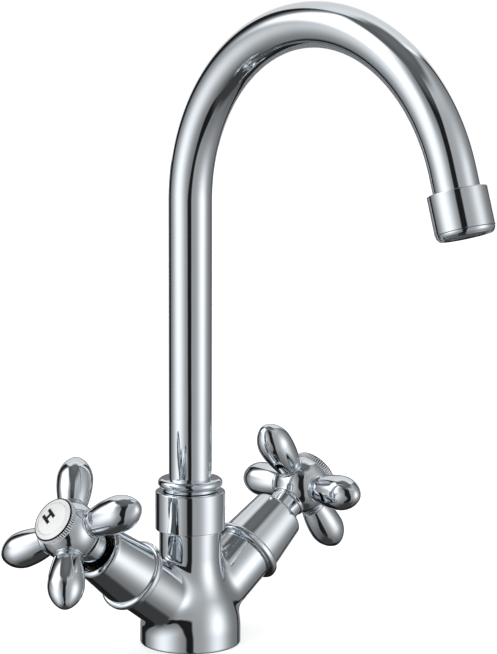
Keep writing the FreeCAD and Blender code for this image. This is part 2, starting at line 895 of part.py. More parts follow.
def make_valve(side, arm):
    """The fixed pieces of one valve, from the seat to the mouth of its cover."""
    make_valve_body(side, arm)
    seat = size("seat_depth")
    seal_top = seat + size("seat_seal_height")
    turned(side + "_seat_seal", ring(
        size("seat_seal_radius"), size("valve_cavity_radius") - size("disc_play"), seat, seal_top
    ), arm)
    make_disc(side + "_fixed_disc", seal_top, arm, slot=False)
    turned(side + "_valve_o_ring", oring_outline(
        size("valve_bore_radius") - size("valve_skirt_play"), size("valve_oring_start"),
        size("oring_section"),
    ), arm)
    gland_section = size("gland_oring_section")
    turned(side + "_gland_o_ring", oring_outline(
        size("spindle_radius") + size("spindle_play") + gland_section,
        size("gland_groove_start"), gland_section,
    ), arm)

    start = size("branch_end")
    end = start + size("dress_ring_thickness")
    outer, edge = size("dress_ring_radius"), size("dress_ring_edge")
    turned(side + "_dress_ring", [
        (size("dress_ring_bore"), start),
        (outer - edge, start),
        (outer, start + edge),
        (outer, end - edge),
        (outer - edge, end),
        (size("dress_ring_bore"), end),
    ], arm)

    mouth, shoulder = size("cover_mouth"), size("cover_shoulder")
    foot_radius, mouth_radius = size("cover_foot_radius"), size("cover_mouth_radius")
    thread = size("cover_thread_radius") + size("nut_thread_play")
    wall, lip = size("cover_wall"), size("cover_lip_radius")
    lip_end = mouth - size("cover_lip_height")
    turned(side + "_bonnet_cover", [
        (foot_radius - wall, end),
        (foot_radius, end),
        (mouth_radius, mouth - shoulder),
        Arc(mouth_radius - shoulder, mouth, shoulder, left=False),
        (lip, mouth),
        (lip, lip_end),
        (mouth_radius - wall, lip_end),
        (mouth_radius - wall, size("cover_thread_end")),
        (thread, size("cover_thread_end")),
        (thread, size("cover_thread_start")),
        (foot_radius - wall, size("cover_thread_start")),
    ], arm)


# Handles


def hub_front():
    """Distance along the arm to the hub's front, where its ball is cut off."""
    ball, front = size("hub_sphere_radius"), size("hub_front_radius")
    return size("hub_centre") + root(ball * ball - front * front)


def hub_outline():
    centre, ball = size("hub_centre"), size("hub_sphere_radius")
    front, rim = size("hub_front_radius"), size("skirt_rim_radius")
    rim_end = centre - root(ball * ball - rim * rim)
    rim_start = rim_end - size("skirt_rim_height")
    front_end, edge = hub_front(), size("hub_edge")
    skirt, bore = size("skirt_radius"), size("skirt_bore_radius")
    recess = size("index_recess_radius")
    recess_floor = front_end - size("index_boss_length")
    seat = recess_floor - size("screw_head_height") - size("screw_play")
    head = size("screw_head_radius") + 2 * size("screw_play")
    hole = size("screw_radius") + size("screw_play")
    spindle = size("spindle_radius") + size("spindle_play")
    socket = size("spindle_end") + size("screw_play")
    return [
        (bore, size("skirt_start")),
        (skirt - edge, size("skirt_start")),
        (skirt, size("skirt_start") + edge),
        (skirt, rim_start),
        (rim, rim_start + edge),
        (rim, rim_end),
        Arc(ball, centre, ball, left=False),
        Arc(front, front_end, ball, left=False),
        (recess, front_end),
        (recess, recess_floor),
        (head, recess_floor),
        (head, seat),
        (hole, seat),
        (hole, socket),
        (spindle, socket),
        (spindle, size("skirt_bore_end")),
        (bore, size("skirt_bore_end")),
    ]


def make_hub(side, turned_frame):
    body = new_body(side + "_handle_hub", turned_frame)
    turn(body, side + "_hub_turned", outline(body, side + "_hub_outline", hub_outline()))
    doc.recompute()
    height, seat = size("lever_centre"), size("lever_seat")
    face = size("lever_collar_radius") + size("lever_play")
    hole = size("lever_spigot_radius") + size("braze_gap")
    start = size("lever_spigot_start")
    beyond = size("hub_sphere_radius") + PAST
    sketch = outline(body, side + "_lever_socket_outline", [
        (start, height),
        (beyond, height),
        (beyond, height + face),
        (seat, height + face),
        (seat, height + hole),
        (start, height + hole),
    ])
    axis = axis_line(sketch, (start, height), (beyond, height))
    socket = turn(body, side + "_lever_socket", sketch, axis, cut=True)
    doc.recompute()
    repeated(body, side + "_lever_sockets", socket, LEVERS)


def lever_outline():
    """A spigot, a collar and a teardrop of three tangent arcs."""
    wide, widest = size("lever_wide"), size("lever_wide_radius")
    nose, tip = size("lever_tip_radius"), size("lever_tip")
    start, narrow = size("lever_body_start"), size("lever_root_radius")
    swell = widest - narrow
    flank = ((wide - start) * (wide - start) + swell * swell) / (2 * swell)
    drop = tip - nose - wide
    shoulder = (widest * widest + drop * drop - nose * nose) / (2 * (widest - nose))
    share = nose / (shoulder - nose)
    meet_across = (shoulder - widest) * share
    meet_height = tip - nose + drop * share
    seat, collar = size("lever_seat"), size("lever_collar_radius")
    collar_end = seat + size("lever_collar_height")
    spigot, groove = size("lever_spigot_radius"), size("lever_groove")
    return [
        (0, size("lever_spigot_start")),
        (spigot, size("lever_spigot_start")),
        (spigot, seat),
        (collar, seat),
        (collar, collar_end),
        (narrow - groove, collar_end + groove / 2),
        (narrow - groove, start - groove),
        (narrow, start),
        Arc(widest, wide, flank, left=False),
        Arc(meet_across, meet_height, shoulder, left=False),
        Arc(0, tip, nose, left=False),
    ]


def make_index(side, place):
    """The knurled ring that screws into the hub's front, and the enamel disc in it."""
    face, outer, bore = hub_front(), size("index_radius"), size("index_bore_radius")
    boss = size("index_recess_radius") - size("seal_play")
    boss_end = face - size("index_boss_length") + size("seal_play")
    edge, rim = size("index_edge"), size("index_pocket_radius")
    knurl_end = face + size("index_knurl_height")
    top = knurl_end + size("index_rise")
    floor = top - size("index_pocket_depth")
    body = turned(side + "_index_ring", [
        (bore, boss_end),
        (boss, boss_end),
        (boss, face),
        (outer, face),
        (outer, knurl_end),
        (outer - edge, knurl_end + edge),
        (rim + edge, top),
        (rim, top),
        (rim, floor),
        (bore, floor),
    ], place)
    doc.recompute()
    depth, margin = size("knurl_depth"), size("knurl_margin")
    half = outer * sine(180 / KNURL_TEETH)
    tooth = outline(body, side + "_knurl_outline", [
        (outer - depth, 0), (outer + depth, -half), (outer + depth, half),
    ], role="XY_Plane")
    tooth.setExpression("AttachmentOffset", frame(z=face + margin))
    cut = size("index_knurl_height") - 2 * margin
    notch = pocket(body, side + "_knurl_notch", tooth, cut, up=True)
    doc.recompute()
    repeated(body, side + "_knurl", notch, KNURL_TEETH)
    enamel, dome = rim - size("seal_play"), size("enamel_dome")
    edge_height = top - size("enamel_sunk")
    turned(side + "_index_disc", [
        (0, floor),
        (enamel, floor),
        (enamel, edge_height),
        Arc(0, edge_height + dome, cap_radius(enamel, dome), left=False),
    ], place)


def make_spindle(side, place):
    shaft, groove = size("spindle_radius"), size("clip_groove")
    neck_end = size("valve_neck_end")
    clip_start = neck_end + size("seal_play")
    clip_end = clip_start + size("clip_thickness") + size("seal_play")
    gap = size("running_gap")
    disc_top = size("seat_depth") + size("seat_seal_height") + 2 * size("disc_thickness")
    tap = size("screw_radius") + size("braze_gap")
    tap_floor = size("spindle_end") - size("screw_length")
    body = turned(side + "_spindle", [
        (0, disc_top),
        (shaft, disc_top),
        (shaft, size("valve_cavity_end") + gap),
        (size("thrust_radius"), size("valve_cavity_end") + gap),
        (size("thrust_radius"), size("thrust_bore_end") - gap),
        (shaft, size("thrust_bore_end") - gap),
        (shaft, clip_start),
        (shaft - groove, clip_start),
        (shaft - groove, clip_end),
        (shaft, clip_end),
        (shaft, size("spindle_end")),
        (tap, size("spindle_end")),
        (tap, tap_floor),
        (0, tap_floor - tap),
    ], place)
    doc.recompute()
    half = size("drive_width") / 2
    reach = size("valve_cavity_radius") - 2 * gap
    bar = new_sketch(body, side + "_drive_outline", "XY_Plane")
    bar.setExpression("AttachmentOffset", frame(z=disc_top - size("drive_depth")))
    places = [(-reach, -half), (reach, -half), (reach, half), (-reach, half)]
    spots = [FreeCAD.Vector(number_of(a), number_of(b), 0) for a, b in places]
    for index in range(4):
        bar.addGeometry(Part.LineSegment(spots[index], spots[(index + 1) % 4]), False)
    for index in range(4):
        link = Sketcher.Constraint("Coincident", index, 2, (index + 1) % 4, 1)
        bar.addConstraint(link)
        pin_point(bar, index, 1, *places[index])
    pad(body, side + "_drive_bar", bar, size("drive_height"))

    clip = turned(side + "_spindle_clip", ring(
        shaft - groove + size("seal_play"), size("clip_radius"),
        clip_start, clip_start + size("clip_thickness"),
    ), place)
    doc.recompute()
    near, far = (shaft - groove) / 2, size("clip_radius") + PAST
    mouth = outline(clip, side + "_clip_mouth_outline", [
        (near, clip_start - PAST), (far, clip_start - PAST),
        (far, clip_end + PAST), (near, clip_end + PAST),
    ])
    pocket(clip, side + "_clip_mouth", mouth, shaft, midplane=True)


def make_screw(side, place):
    """The slotted screw that holds the hub on its spindle, under the index ring."""
    seat = hub_front() - size("index_boss_length") - size("screw_head_height") - size("screw_play")
    top = seat + size("screw_head_height")
    head, dome = size("screw_head_radius"), size("screw_dome")
    end = size("spindle_end") - size("screw_length") + size("screw_end_gap")
    body = turned(side + "_handle_screw", [
        (0, end),
        (size("screw_radius"), end),
        (size("screw_radius"), seat),
        (head, seat),
        (head, top - dome),
        Arc(0, top, cap_radius(head, dome), left=False),
    ], place)
    doc.recompute()
    half, floor = size("screw_slot_width") / 2, top - size("screw_slot_depth")
    slot = outline(body, side + "_screw_slot_outline", [
        (-half, floor), (half, floor), (half, top + PAST), (-half, top + PAST),
    ])
    pocket(body, side + "_screw_slot", slot, 2 * head, midplane=True)


def make_handle(side, arm, lever_turn):
    """Everything that turns with one cross handle."""
    start = arm + " * " + frame(axis=Z_AXIS, angle=180 - lever_turn)
    make_hub(side, start)
    for index in range(LEVERS):
        around = frame(axis=Z_AXIS, angle=180 - lever_turn - index * 360 / LEVERS)
        outward = frame(z=size("lever_centre"), axis=Y_AXIS, angle=90)
        turned(f"{side}_lever_{index + 1}", lever_outline(), f"{arm} * {around} * {outward}")
    make_index(side, start)
    make_spindle(side, arm)
    make_screw(side, arm)
    disc_start = size("seat_depth") + size("seat_seal_height") + size("disc_thickness")
    closed = arm + " * " + frame(axis=Z_AXIS, angle=90)
    make_disc(side + "_moving_disc", disc_start, closed, slot=True)


make_mixer_body()
make_base_pieces()
make_spout_tube()
make_spout_foot()
make_outlet()
for side_name, arm_frame, turn_alias in (
    ("hot", HOT_ARM, "lever_turn_hot"),
    ("cold", COLD_ARM, "lever_turn_cold"),
):
    make_valve(side_name, arm_frame)
    make_handle(side_name, arm_frame, size(turn_alias))
doc.recompute()

for thing in doc.Objects:
    if any(flag in ("Invalid", "Error") for flag in thing.State):
        raise RuntimeError(f"{thing.Label} failed: {thing.State}")

held = {link for thing in doc.Objects if thing.TypeId == "Part::Compound" for link in thing.Links}
pieces = [
    thing for thing in doc.Objects
    if thing.TypeId in ("PartDesign::Body", "Part::Compound") and thing not in held
]
for piece in pieces:
    if piece.Shape.isNull() or not piece.Shape.isValid():
        raise RuntimeError(f"{piece.Label} has no valid shape")

os.makedirs("parts", exist_ok=True)
for piece in pieces:
    piece.Shape.exportStep(os.path.join("parts", piece.Label + ".step"))
    print(piece.Label, len(piece.Shape.Solids), round(piece.Shape.Volume, 1))
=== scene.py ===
"""The finish of a two handle kitchen faucet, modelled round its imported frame.

The faucet stands on z = 0. Its spout arches towards -Y, the hot arm leans towards -X and the
cold arm towards +X. Pieces of one arm are modelled upright on the world's z axis, with their
distance along the arm as height, and are then laid onto the arm. Lengths are in metres and
are written as millimetres times MM.
"""

import json
import math

import bpy
import numpy as np
from bpy.props import FloatProperty, FloatVectorProperty, IntProperty, PointerProperty
from mathutils import Matrix, Vector


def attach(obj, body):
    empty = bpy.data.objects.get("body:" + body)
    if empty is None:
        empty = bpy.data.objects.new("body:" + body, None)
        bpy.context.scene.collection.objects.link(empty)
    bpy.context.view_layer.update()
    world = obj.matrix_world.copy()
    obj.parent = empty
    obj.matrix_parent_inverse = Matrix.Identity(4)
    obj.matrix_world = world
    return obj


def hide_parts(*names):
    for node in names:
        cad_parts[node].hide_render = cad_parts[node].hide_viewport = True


bl_info = {
    "name": "Kitchen faucet finish",
    "version": (1, 0, 0),
    "blender": (4, 5, 0),
    "location": "View3D > Sidebar > Faucet",
    "description": "Models the visible pieces of a two handle kitchen faucet and its studio",
    "category": "Object",
}

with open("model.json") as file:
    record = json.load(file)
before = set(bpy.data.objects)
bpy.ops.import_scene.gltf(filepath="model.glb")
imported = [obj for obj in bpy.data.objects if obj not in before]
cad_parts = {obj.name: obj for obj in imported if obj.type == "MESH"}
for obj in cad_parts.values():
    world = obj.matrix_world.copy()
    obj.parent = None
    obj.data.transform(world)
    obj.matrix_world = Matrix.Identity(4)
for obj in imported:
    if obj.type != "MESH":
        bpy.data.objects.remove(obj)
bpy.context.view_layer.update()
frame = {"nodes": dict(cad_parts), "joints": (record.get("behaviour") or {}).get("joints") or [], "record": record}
JOINTS = {joint["name"]: joint for joint in frame["joints"]}
MM = 0.001
SIDES = ("hot", "cold")
LEVERS = 4
# A ring's second finish is painted shade, for its notch floors and its lip.
RING_FINISHES = ("chrome", "notch", "tooth", "white_enamel")
PICTURE_WIDTH, PICTURE_HEIGHT = 497, 654


def length(value, note):
    """A length property whose default is given in millimetres."""
    return FloatProperty(description=note, default=value * MM, unit="LENGTH", precision=5)


def angle(value, note):
    """An angle property whose default is given in degrees."""
    return FloatProperty(description=note, default=math.radians(value), subtype="ANGLE")


def pixels(value, note):
    return FloatProperty(description=note, default=value)


def colour(value, note):
    return FloatVectorProperty(description=note, default=value, subtype="COLOR", min=0, max=1)


def titled(group):
    """Names each property of a group after its key."""
    for key, made in group.__annotations__.items():
        made.keywords["name"] = key.replace("_", " ").capitalize()
    return group


@titled
class FaucetStage(bpy.types.PropertyGroup):
    camera_azimuth: angle(-42.05, "Direction of the camera round the faucet")
    camera_pitch: angle(8.28, "Downward look of the camera")
    camera_distance: length(1302, "Level distance from the riser's axis")
    camera_height: length(366.4, "Height of the camera above the deck")
    focal_length: pixels(2603.5, "Focal length in pixels of the picture")
    centre_across: pixels(190.3, "Pixel column that the lens is centred on")
    centre_down: pixels(300.9, "Pixel row that the lens is centred on")
    card_distance: length(430, "Distance of the grey card behind the faucet")
    card_height: length(225, "Height of the grey card's upper edge")
    card_width: length(600, "Width of the grey card")
    floor_radius: length(3000, "Radius of the white floor")


@titled
class FaucetBody(bpy.types.PropertyGroup):
    foot_radius: length(25.8, "Radius of the round foot")
    foot_edge: length(0.8, "Rounding of the foot's lower edge")
    foot_height: length(8.0, "Height of the upright part of the foot")
    neck_radius: length(15.9, "Radius of the neck")
    neck_start: length(46.0, "Height where the bell becomes the upright neck")
    body_top: length(59.3, "Height of the casting's shoulder")
    branch_radius: length(15.5, "Radius of each branch")
    branch_end: length(46.9, "Distance along the arm to the branch's end")
    groove_inner: length(20.6, "Inner radius of the base seal's groove")
    groove_outer: length(23.4, "Outer radius of the base seal's groove")
    groove_depth: length(2.4, "Depth of the base seal's groove")
    blend: length(4.5, "Width of the soft blend between branch and bell")
    nut_radius: length(17.9, "Radius of the spout nut")
    nut_top: length(79.25, "Height of the spout nut's top")
    bead_waist: length(14.4, "Radius of the bead ring below and above its bulge")
    bead_bulge: length(2.41, "Radius of the bulge's section")
    bead_height: length(83.5, "Height of the bead's middle")
    bead_thickness: length(4.8, "Height of the bulge")


@titled
class FaucetSpout(bpy.types.PropertyGroup):
    tube_radius: length(11.0, "Outer radius of the spout tube")
    tube_wall: length(1.2, "Wall of the spout tube")
    tube_foot: length(78.0, "Height of the tube's lower end")
    arc_height: length(228.12, "Height of the arc's centre")
    arc_radius: length(90.43, "Radius of the arc along the tube's middle")
    arc_sweep: angle(162.75, "Angle that the arc turns through")
    tube_end: length(17.03, "Straight length of tube after the arc")
    nozzle_start: length(9.03, "Straight tube that shows before the nozzle")
    nozzle_radius: length(14.02, "Radius of the nozzle")
    nozzle_length: length(18.2, "Length of the nozzle, without the aerator's rim")
    rim_length: length(3.0, "Length of the aerator's rounded rim")
    rim_radius: length(12.4, "Radius of the aerator's rim at its lower end")


@titled
class FaucetValve(bpy.types.PropertyGroup):
    ring_radius: length(18.8, "Radius of the dress ring")
    ring_thickness: length(4.0, "Thickness of the dress ring")
    cover_foot: length(16.77, "Radius of the bonnet cover at the dress ring")
    cover_mouth: length(14.44, "Radius of the bonnet cover below its shoulder")
    cover_end: length(77.54, "Distance along the arm to the cover's mouth")
    cover_shoulder: length(2.4, "Rounding of the cover's shoulder")
    mouth_radius: length(11.6, "Radius of the opening in the cover")


@titled
class FaucetHandle(bpy.types.PropertyGroup):
    ball_radius: length(15.13, "Radius of the hub's ball")
    ball_centre: length(98.58, "Distance along the arm to the ball's centre")
    front_radius: length(11.9, "Radius where the ball meets the index ring")
    skirt_radius: length(8.6, "Radius of the hub's skirt")
    skirt_start: length(70.0, "Distance along the arm to the skirt's end")
    rim_radius: length(9.4, "Radius of the rim between skirt and ball")
    lever_centre: length(97.6, "Distance along the arm to the levers' axes")
    lever_seat: length(13.25, "Distance from the arm's axis to a lever's collar")
    lever_collar: length(7.4, "Radius of a lever's collar")
    lever_root: length(7.1, "Radius of a lever above its groove")
    lever_wide: length(30.0, "Distance to a lever's widest place")
    lever_radius: length(9.18, "Radius of a lever at its widest")
    lever_tip: length(43.1, "Distance to a lever's tip")
    lever_nose: length(5.6, "Radius of a lever's rounded tip")
    hot_turn: angle(-29.74, "Turn of the hot handle's first lever from upright")
    cold_turn: angle(2.83, "Turn of the cold handle's first lever from upright")
    index_radius: length(12.1, "Radius of the knurled index ring")
    index_height: length(3.0, "Width of the knurled band")
    index_rise: length(1.5, "Height of the ring's bevel above its knurl")
    disc_radius: length(8.8, "Radius of the enamel disc")
    disc_dome: length(0.35, "Height of the enamel disc's dome")
    teeth: IntProperty(description="Teeth of the knurled band", default=60)
    letter_size: length(8.6, "Size of the letter on the enamel disc")
    knurl_depth: length(0.8, "Depth of the knurl's notches")
    letter_turn: angle(154.5, "Turn of the letter about the arm")
    letter_rise: length(0.53, "Distance of the letter above the disc's middle")
    letter_aside: length(2.22, "Distance of the letter beside the disc's middle")


@titled
class FaucetFinish(bpy.types.PropertyGroup):
    chrome: colour((0.765, 0.813, 0.855), "Tint of the chrome plate")
    enamel: colour((0.86, 0.865, 0.86), "Colour of the index discs")
    ink: colour((0.01, 0.01, 0.012), "Colour of the letters")
    rubber: colour((0.02, 0.02, 0.022), "Colour of seals")
    # Brass colour darkened with painted shade, for the valve body seen inside the covers' mouths.
    brass: colour((0.16, 0.12, 0.07), "Colour of the greased brass")


# Shaders


class Value:
    """A shader socket that can be used in a Python expression."""

    def __init__(self, shader, socket):
        self.shader = shader
        self.socket = socket

    def __add__(self, other):
        return self.shader.maths("ADD", self, other)

    __radd__ = __add__

    def __sub__(self, other):
        return self.shader.maths("SUBTRACT", self, other)

    def __rsub__(self, other):
        return self.shader.maths("SUBTRACT", other, self)

    def __mul__(self, other):
        return self.shader.maths("MULTIPLY", self, other)

    def __truediv__(self, other):
        return self.shader.maths("DIVIDE", self, other)

    def size(self):
        return self.shader.maths("ABSOLUTE", self)

    def rises(self, low, high):
        """0 below low, 1 above high, smooth between."""
        settings = {"interpolation_type": "SMOOTHSTEP"}
        return self.shader.value("ShaderNodeMapRange", settings, self, low, high, 0.0, 1.0)

    def falls(self, low, high):
        """1 below low, 0 above high, smooth between."""
        return 1 - self.rises(low, high)

    def lobe(self, middle, spread):
        """A bell curve of height 1."""
        away = (self - middle) / spread
        return self.shader.maths("EXPONENT", away * away * -0.5)


class Shader:
    """The node tree of a material or a world."""

    def __init__(self, owner):
        owner.use_nodes = True
        self.tree = owner.node_tree
        self.tree.nodes.clear()

    def node(self, kind, settings, *values, **named):
        """A node with its settings, and with its sockets fed by order or by name."""
        made = self.tree.nodes.new(kind)
        for name, setting in settings.items():
            setattr(made, name, setting)
        for socket, value in zip(made.inputs, values):
            self.feed(socket, value)
        for name, value in named.items():
            self.feed(made.inputs[name.replace("_", " ")], value)
        return made

    def feed(self, socket, value):
        if isinstance(value, Value):
            self.tree.links.new(value.socket, socket)
        else:
            socket.default_value = value

    def value(self, kind, settings, *values, output=0, **named):
        return Value(self, self.node(kind, settings, *values, **named).outputs[output])

    def maths(self, operation, *values):
        return self.value("ShaderNodeMath", {"operation": operation}, *values)

    def noise(self, scale, detail):
        """Noise in the object's own coordinates, its scale in waves to a metre."""
        place = self.value("ShaderNodeTexCoord", {}, output="Object")
        return self.value("ShaderNodeTexNoise", {}, Vector=place, Scale=scale, Detail=detail)

    def bump(self, height, strength, distance):
        sockets = {"Strength": strength, "Distance": distance, "Height": height}
        return self.value("ShaderNodeBump", {}, **sockets)

    def mix(self, factor, first, second):
        """A blend of two colours. The node also has sockets of other kinds, which stay unused."""
        made = self.node("ShaderNodeMix", {"data_type": "RGBA"}, factor)
        sockets = [socket for socket in made.inputs if socket.type == "RGBA"]
        self.feed(sockets[0], first)
        self.feed(sockets[1], second)
        return Value(self, next(socket for socket in made.outputs if socket.type == "RGBA"))

    def grained(self, grain, first, second, roughness, spread, **sockets):
        """A surface whose colour and roughness both follow one fine grain."""
        self.surface(
            Base_Color=self.mix(grain, opaque(first), opaque(second)),
            Roughness=roughness + grain * spread,
            **sockets,
        )

    def surface(self, **sockets):
        made = self.node("ShaderNodeBsdfPrincipled", {}, **sockets)
        self.end(Value(self, made.outputs[0]), "ShaderNodeOutputMaterial")

    def end(self, value, kind):
        output = self.tree.nodes.new(kind)
        self.tree.links.new(value.socket, output.inputs["Surface"])


def opaque(rgb):
    return (*rgb, 1.0)


# Finishes


def finish_settings():
    return bpy.context.scene.faucet_finish


def material(name):
    """A material by name, made once by the function that knows its nodes."""
    title = name.replace("_", " ") + " finish"
    found = bpy.data.materials.get(title)
    if found is None:
        found = bpy.data.materials.new(title)
        FINISHES[name](Shader(found))
    return found


def give_finish(piece, *names):
    """Clears a piece's materials, which also gives all its faces to the first new one."""
    piece.data.materials.clear()
    for name in names:
        piece.data.materials.append(material(name))


def build_chrome(shader):
    """Bright plate: faint haze that comes and goes, and the slight waves of a polished surface."""
    haze = shader.noise(42.0, 3.0)
    fine = shader.noise(900.0, 2.0)
    waves = shader.noise(55.0, 1.0)
    shader.surface(
        Base_Color=opaque(finish_settings().chrome),
        Metallic=1.0,
        Roughness=0.035 + haze * 0.035 + fine * 0.012,
        Normal=shader.bump(waves, 0.12, 0.6 * MM),
    )


def build_cast_chrome(shader):
    """Plate on a cast body, with broader waves left by the polishing belt."""
    haze = shader.noise(30.0, 3.0)
    waves = shader.noise(38.0, 1.5)
    shader.surface(
        Base_Color=opaque(finish_settings().chrome),
        Metallic=1.0,
        Roughness=0.045 + haze * 0.04,
        Normal=shader.bump(waves, 0.16, 0.9 * MM),
    )


def build_painted_shade(shader):
    """Painted shade: near black, dull plate for the floors of a knurl's notches and for the ring's lip, where
    shadow falls.
    """
    grain = shader.noise(2000.0, 2.0)
    shader.grained(grain, (0.012, 0.013, 0.014), (0.03, 0.032, 0.034), 0.4, 0.2, Metallic=1.0)


def build_tooth(shader):
    """The knurl's teeth, whose cut faces are finer than the rest and scatter the light."""
    grain = shader.noise(1800.0, 2.0)
    shader.grained(grain, (0.84, 0.86, 0.88), (0.7, 0.73, 0.76), 0.3, 0.15, Metallic=0.45)


def build_enamel(shader):
    """Glossy white enamel under a clear glaze, a little uneven."""
    cloud = shader.noise(160.0, 3.0)
    shader.grained(
        cloud, finish_settings().enamel, (0.74, 0.75, 0.76), 0.16, 0.12,
        Coat_Weight=0.6,
        Coat_Roughness=0.05,
        Normal=shader.bump(shader.noise(420.0, 2.0), 0.1, 0.2 * MM),
    )


def build_ink(shader):
    speck = shader.noise(1400.0, 2.0)
    shader.surface(
        Base_Color=opaque(finish_settings().ink),
        Roughness=0.45 + speck * 0.15,
        Specular_IOR_Level=0.15,
    )


def build_rubber(shader):
    grain = shader.noise(1800.0, 3.0)
    bump = shader.bump(grain, 0.2, 0.1 * MM)
    shader.grained(grain, finish_settings().rubber, (0.05, 0.05, 0.052), 0.55, 0.2, Normal=bump)


def build_brass(shader):
    # Both colours are brass darkened with painted shade, for the valve body inside the covers' mouths.
    grain = shader.noise(700.0, 4.0)
    bump = shader.bump(grain, 0.15, 0.1 * MM)
    brass = finish_settings().brass
    shader.grained(grain, brass, (0.10, 0.075, 0.04), 0.28, 0.2, Metallic=1.0, Normal=bump)


def build_steel(shader):
    grain = shader.noise(1100.0, 3.0)
    shader.grained(grain, (0.46, 0.47, 0.49), (0.30, 0.31, 0.33), 0.3, 0.15, Metallic=1.0)


def build_plastic(shader):
    grain = shader.noise(900.0, 3.0)
    bump = shader.bump(grain, 0.1, 0.1 * MM)
    shader.grained(grain, (0.62, 0.63, 0.64), (0.5, 0.51, 0.52), 0.42, 0.12, Normal=bump)


def build_ceramic(shader):
    grain = shader.noise(1300.0, 3.0)
    shader.grained(grain, (0.84, 0.83, 0.79), (0.76, 0.75, 0.71), 0.22, 0.08)


def build_card(shader):
    """Matt grey board, for the silhouettes near the deck to reflect."""
    grain = shader.noise(40.0, 2.0)
    greys = shader.mix(grain, opaque((0.17, 0.17, 0.18)), opaque((0.21, 0.21, 0.22)))
    shader.surface(Base_Color=greys, Roughness=0.95)


def build_floor(shader):
    """Matt white, with a little light of its own."""
    grain = shader.noise(8.0, 3.0)
    shader.surface(
        Base_Color=shader.mix(grain, opaque((0.9, 0.9, 0.9)), opaque((0.87, 0.87, 0.87))),
        Roughness=0.9,
        Emission_Color=opaque((1.0, 1.0, 1.0)),
        Emission_Strength=0.4,
    )


FINISHES = {
    "chrome": build_chrome,
    "cast_chrome": build_cast_chrome,
    "notch": build_painted_shade,
    "tooth": build_tooth,
    "white_enamel": build_enamel,
    "ink": build_ink,
    "rubber": build_rubber,
    "brass": build_brass,
    "steel": build_steel,
    "screen_steel": build_steel,
    "slip_plastic": build_plastic,
    "insert_plastic": build_plastic,
    "ceramic": build_ceramic,
    "card": build_card,
    "floor": build_floor,
}


# Outlines


class Arc:
    """A corner of an outline that is reached along an arc.

    Outlines run upwards on their outside, so an arc bulges to the right unless it is hollow.
    """

    def __init__(self, across, along, radius, hollow=False):
        self.point = (across, along)
        self.radius = radius
        self.hollow = hollow

    def points(self, start, sagitta):
        """Points from start to the arc's end, whose chords are off the arc by a sagitta at most."""
        first, last = Vector(start), Vector(self.point)
        chord = last - first
        half = min(chord.length / 2, self.radius)
        side = Vector((-chord.y, chord.x)).normalized() * (1 if self.hollow else -1)
        centre = first + chord / 2 - side * math.sqrt(max(self.radius**2 - half**2, 0))
        turn = 2 * math.asin(half / self.radius) * (-1 if self.hollow else 1)
        step = 2 * math.acos(max(1 - sagitta / self.radius, 0.5))
        count = max(4, math.ceil(abs(turn) / step))
        spoke = first - centre
        made = []
        for index in range(1, count + 1):
            share = turn * index / count
            turned = Matrix.Rotation(share, 2) @ spoke
            made.append(tuple(centre + turned))
        made[-1] = self.point
        return made


def traced(corners, sagitta=0.03 * MM):
    """The points of an outline, with its arcs divided."""
    points = []
    for corner in corners:
        if isinstance(corner, Arc):
            points += corner.points(points[-1], sagitta)
        else:
            points.append(corner)
    return points


def box_corners(inner, outer, low, high):
    """A rectangle's outline, which turns into a pipe, or into a drum where inner is 0."""
    return [(inner, low), (outer, low), (outer, high), (inner, high)]


def edge_up(radius, low, edge):
    """The rounded edge where an outline turns from a level face up into its wall."""
    return [(radius - edge, low), Arc(radius, low + edge, edge)]


def edge_in(radius, high, edge):
    """The rounded edge where an outline turns from its wall into a level face."""
    return [(radius, high - edge), Arc(radius - edge, high, edge)]


# Modelling


def deselect():
    if bpy.context.object and bpy.context.object.mode != "OBJECT":
        bpy.ops.object.mode_set(mode="OBJECT")
    bpy.ops.object.select_all(action="DESELECT")


def only(piece):
    deselect()
    piece.select_set(True)
    bpy.context.view_layer.objects.active = piece


def settle(piece, name, place=None):
    """Names a piece, lays it on its frame and moves its place into its mesh."""
    only(piece)
    piece.name = name
    piece.data.name = name
    if place is not None:
        piece.matrix_world = place @ piece.matrix_world
    bpy.ops.object.transform_apply(location=True, rotation=True, scale=True)
    return piece


def modify(piece, kind, **settings):
    only(piece)
    modifier = piece.modifiers.new(kind.lower(), kind)
    for name, value in settings.items():
        setattr(modifier, name, value)
    bpy.ops.object.modifier_apply(modifier=modifier.name)


def delete(piece):
    only(piece)
    bpy.ops.object.delete()


def join(parts):
    """Joins parts into the first of them."""
    deselect()
    for part in parts:
        part.select_set(True)
    bpy.context.view_layer.objects.active = parts[0]
    bpy.ops.object.join()
    return parts[0]


def cut_away(piece, cutter):
    modify(piece, "BOOLEAN", operation="DIFFERENCE", object=cutter, solver="EXACT")
    delete(cutter)


def weld(gap):
    """Merges the points of the edited mesh that lie within a gap of each other."""
    bpy.ops.mesh.select_all(action="SELECT")
    bpy.ops.mesh.remove_doubles(threshold=gap)


def shade(piece, degrees):
    only(piece)
    bpy.ops.object.shade_smooth_by_angle(angle=math.radians(degrees))


def smooth(piece, degrees=38):
    """Smooth shading with crisp corners, and flat faces that stay flat beside their bevels."""
    shade(piece, degrees)
    modify(piece, "WEIGHTED_NORMAL", keep_sharp=True, weight=60)


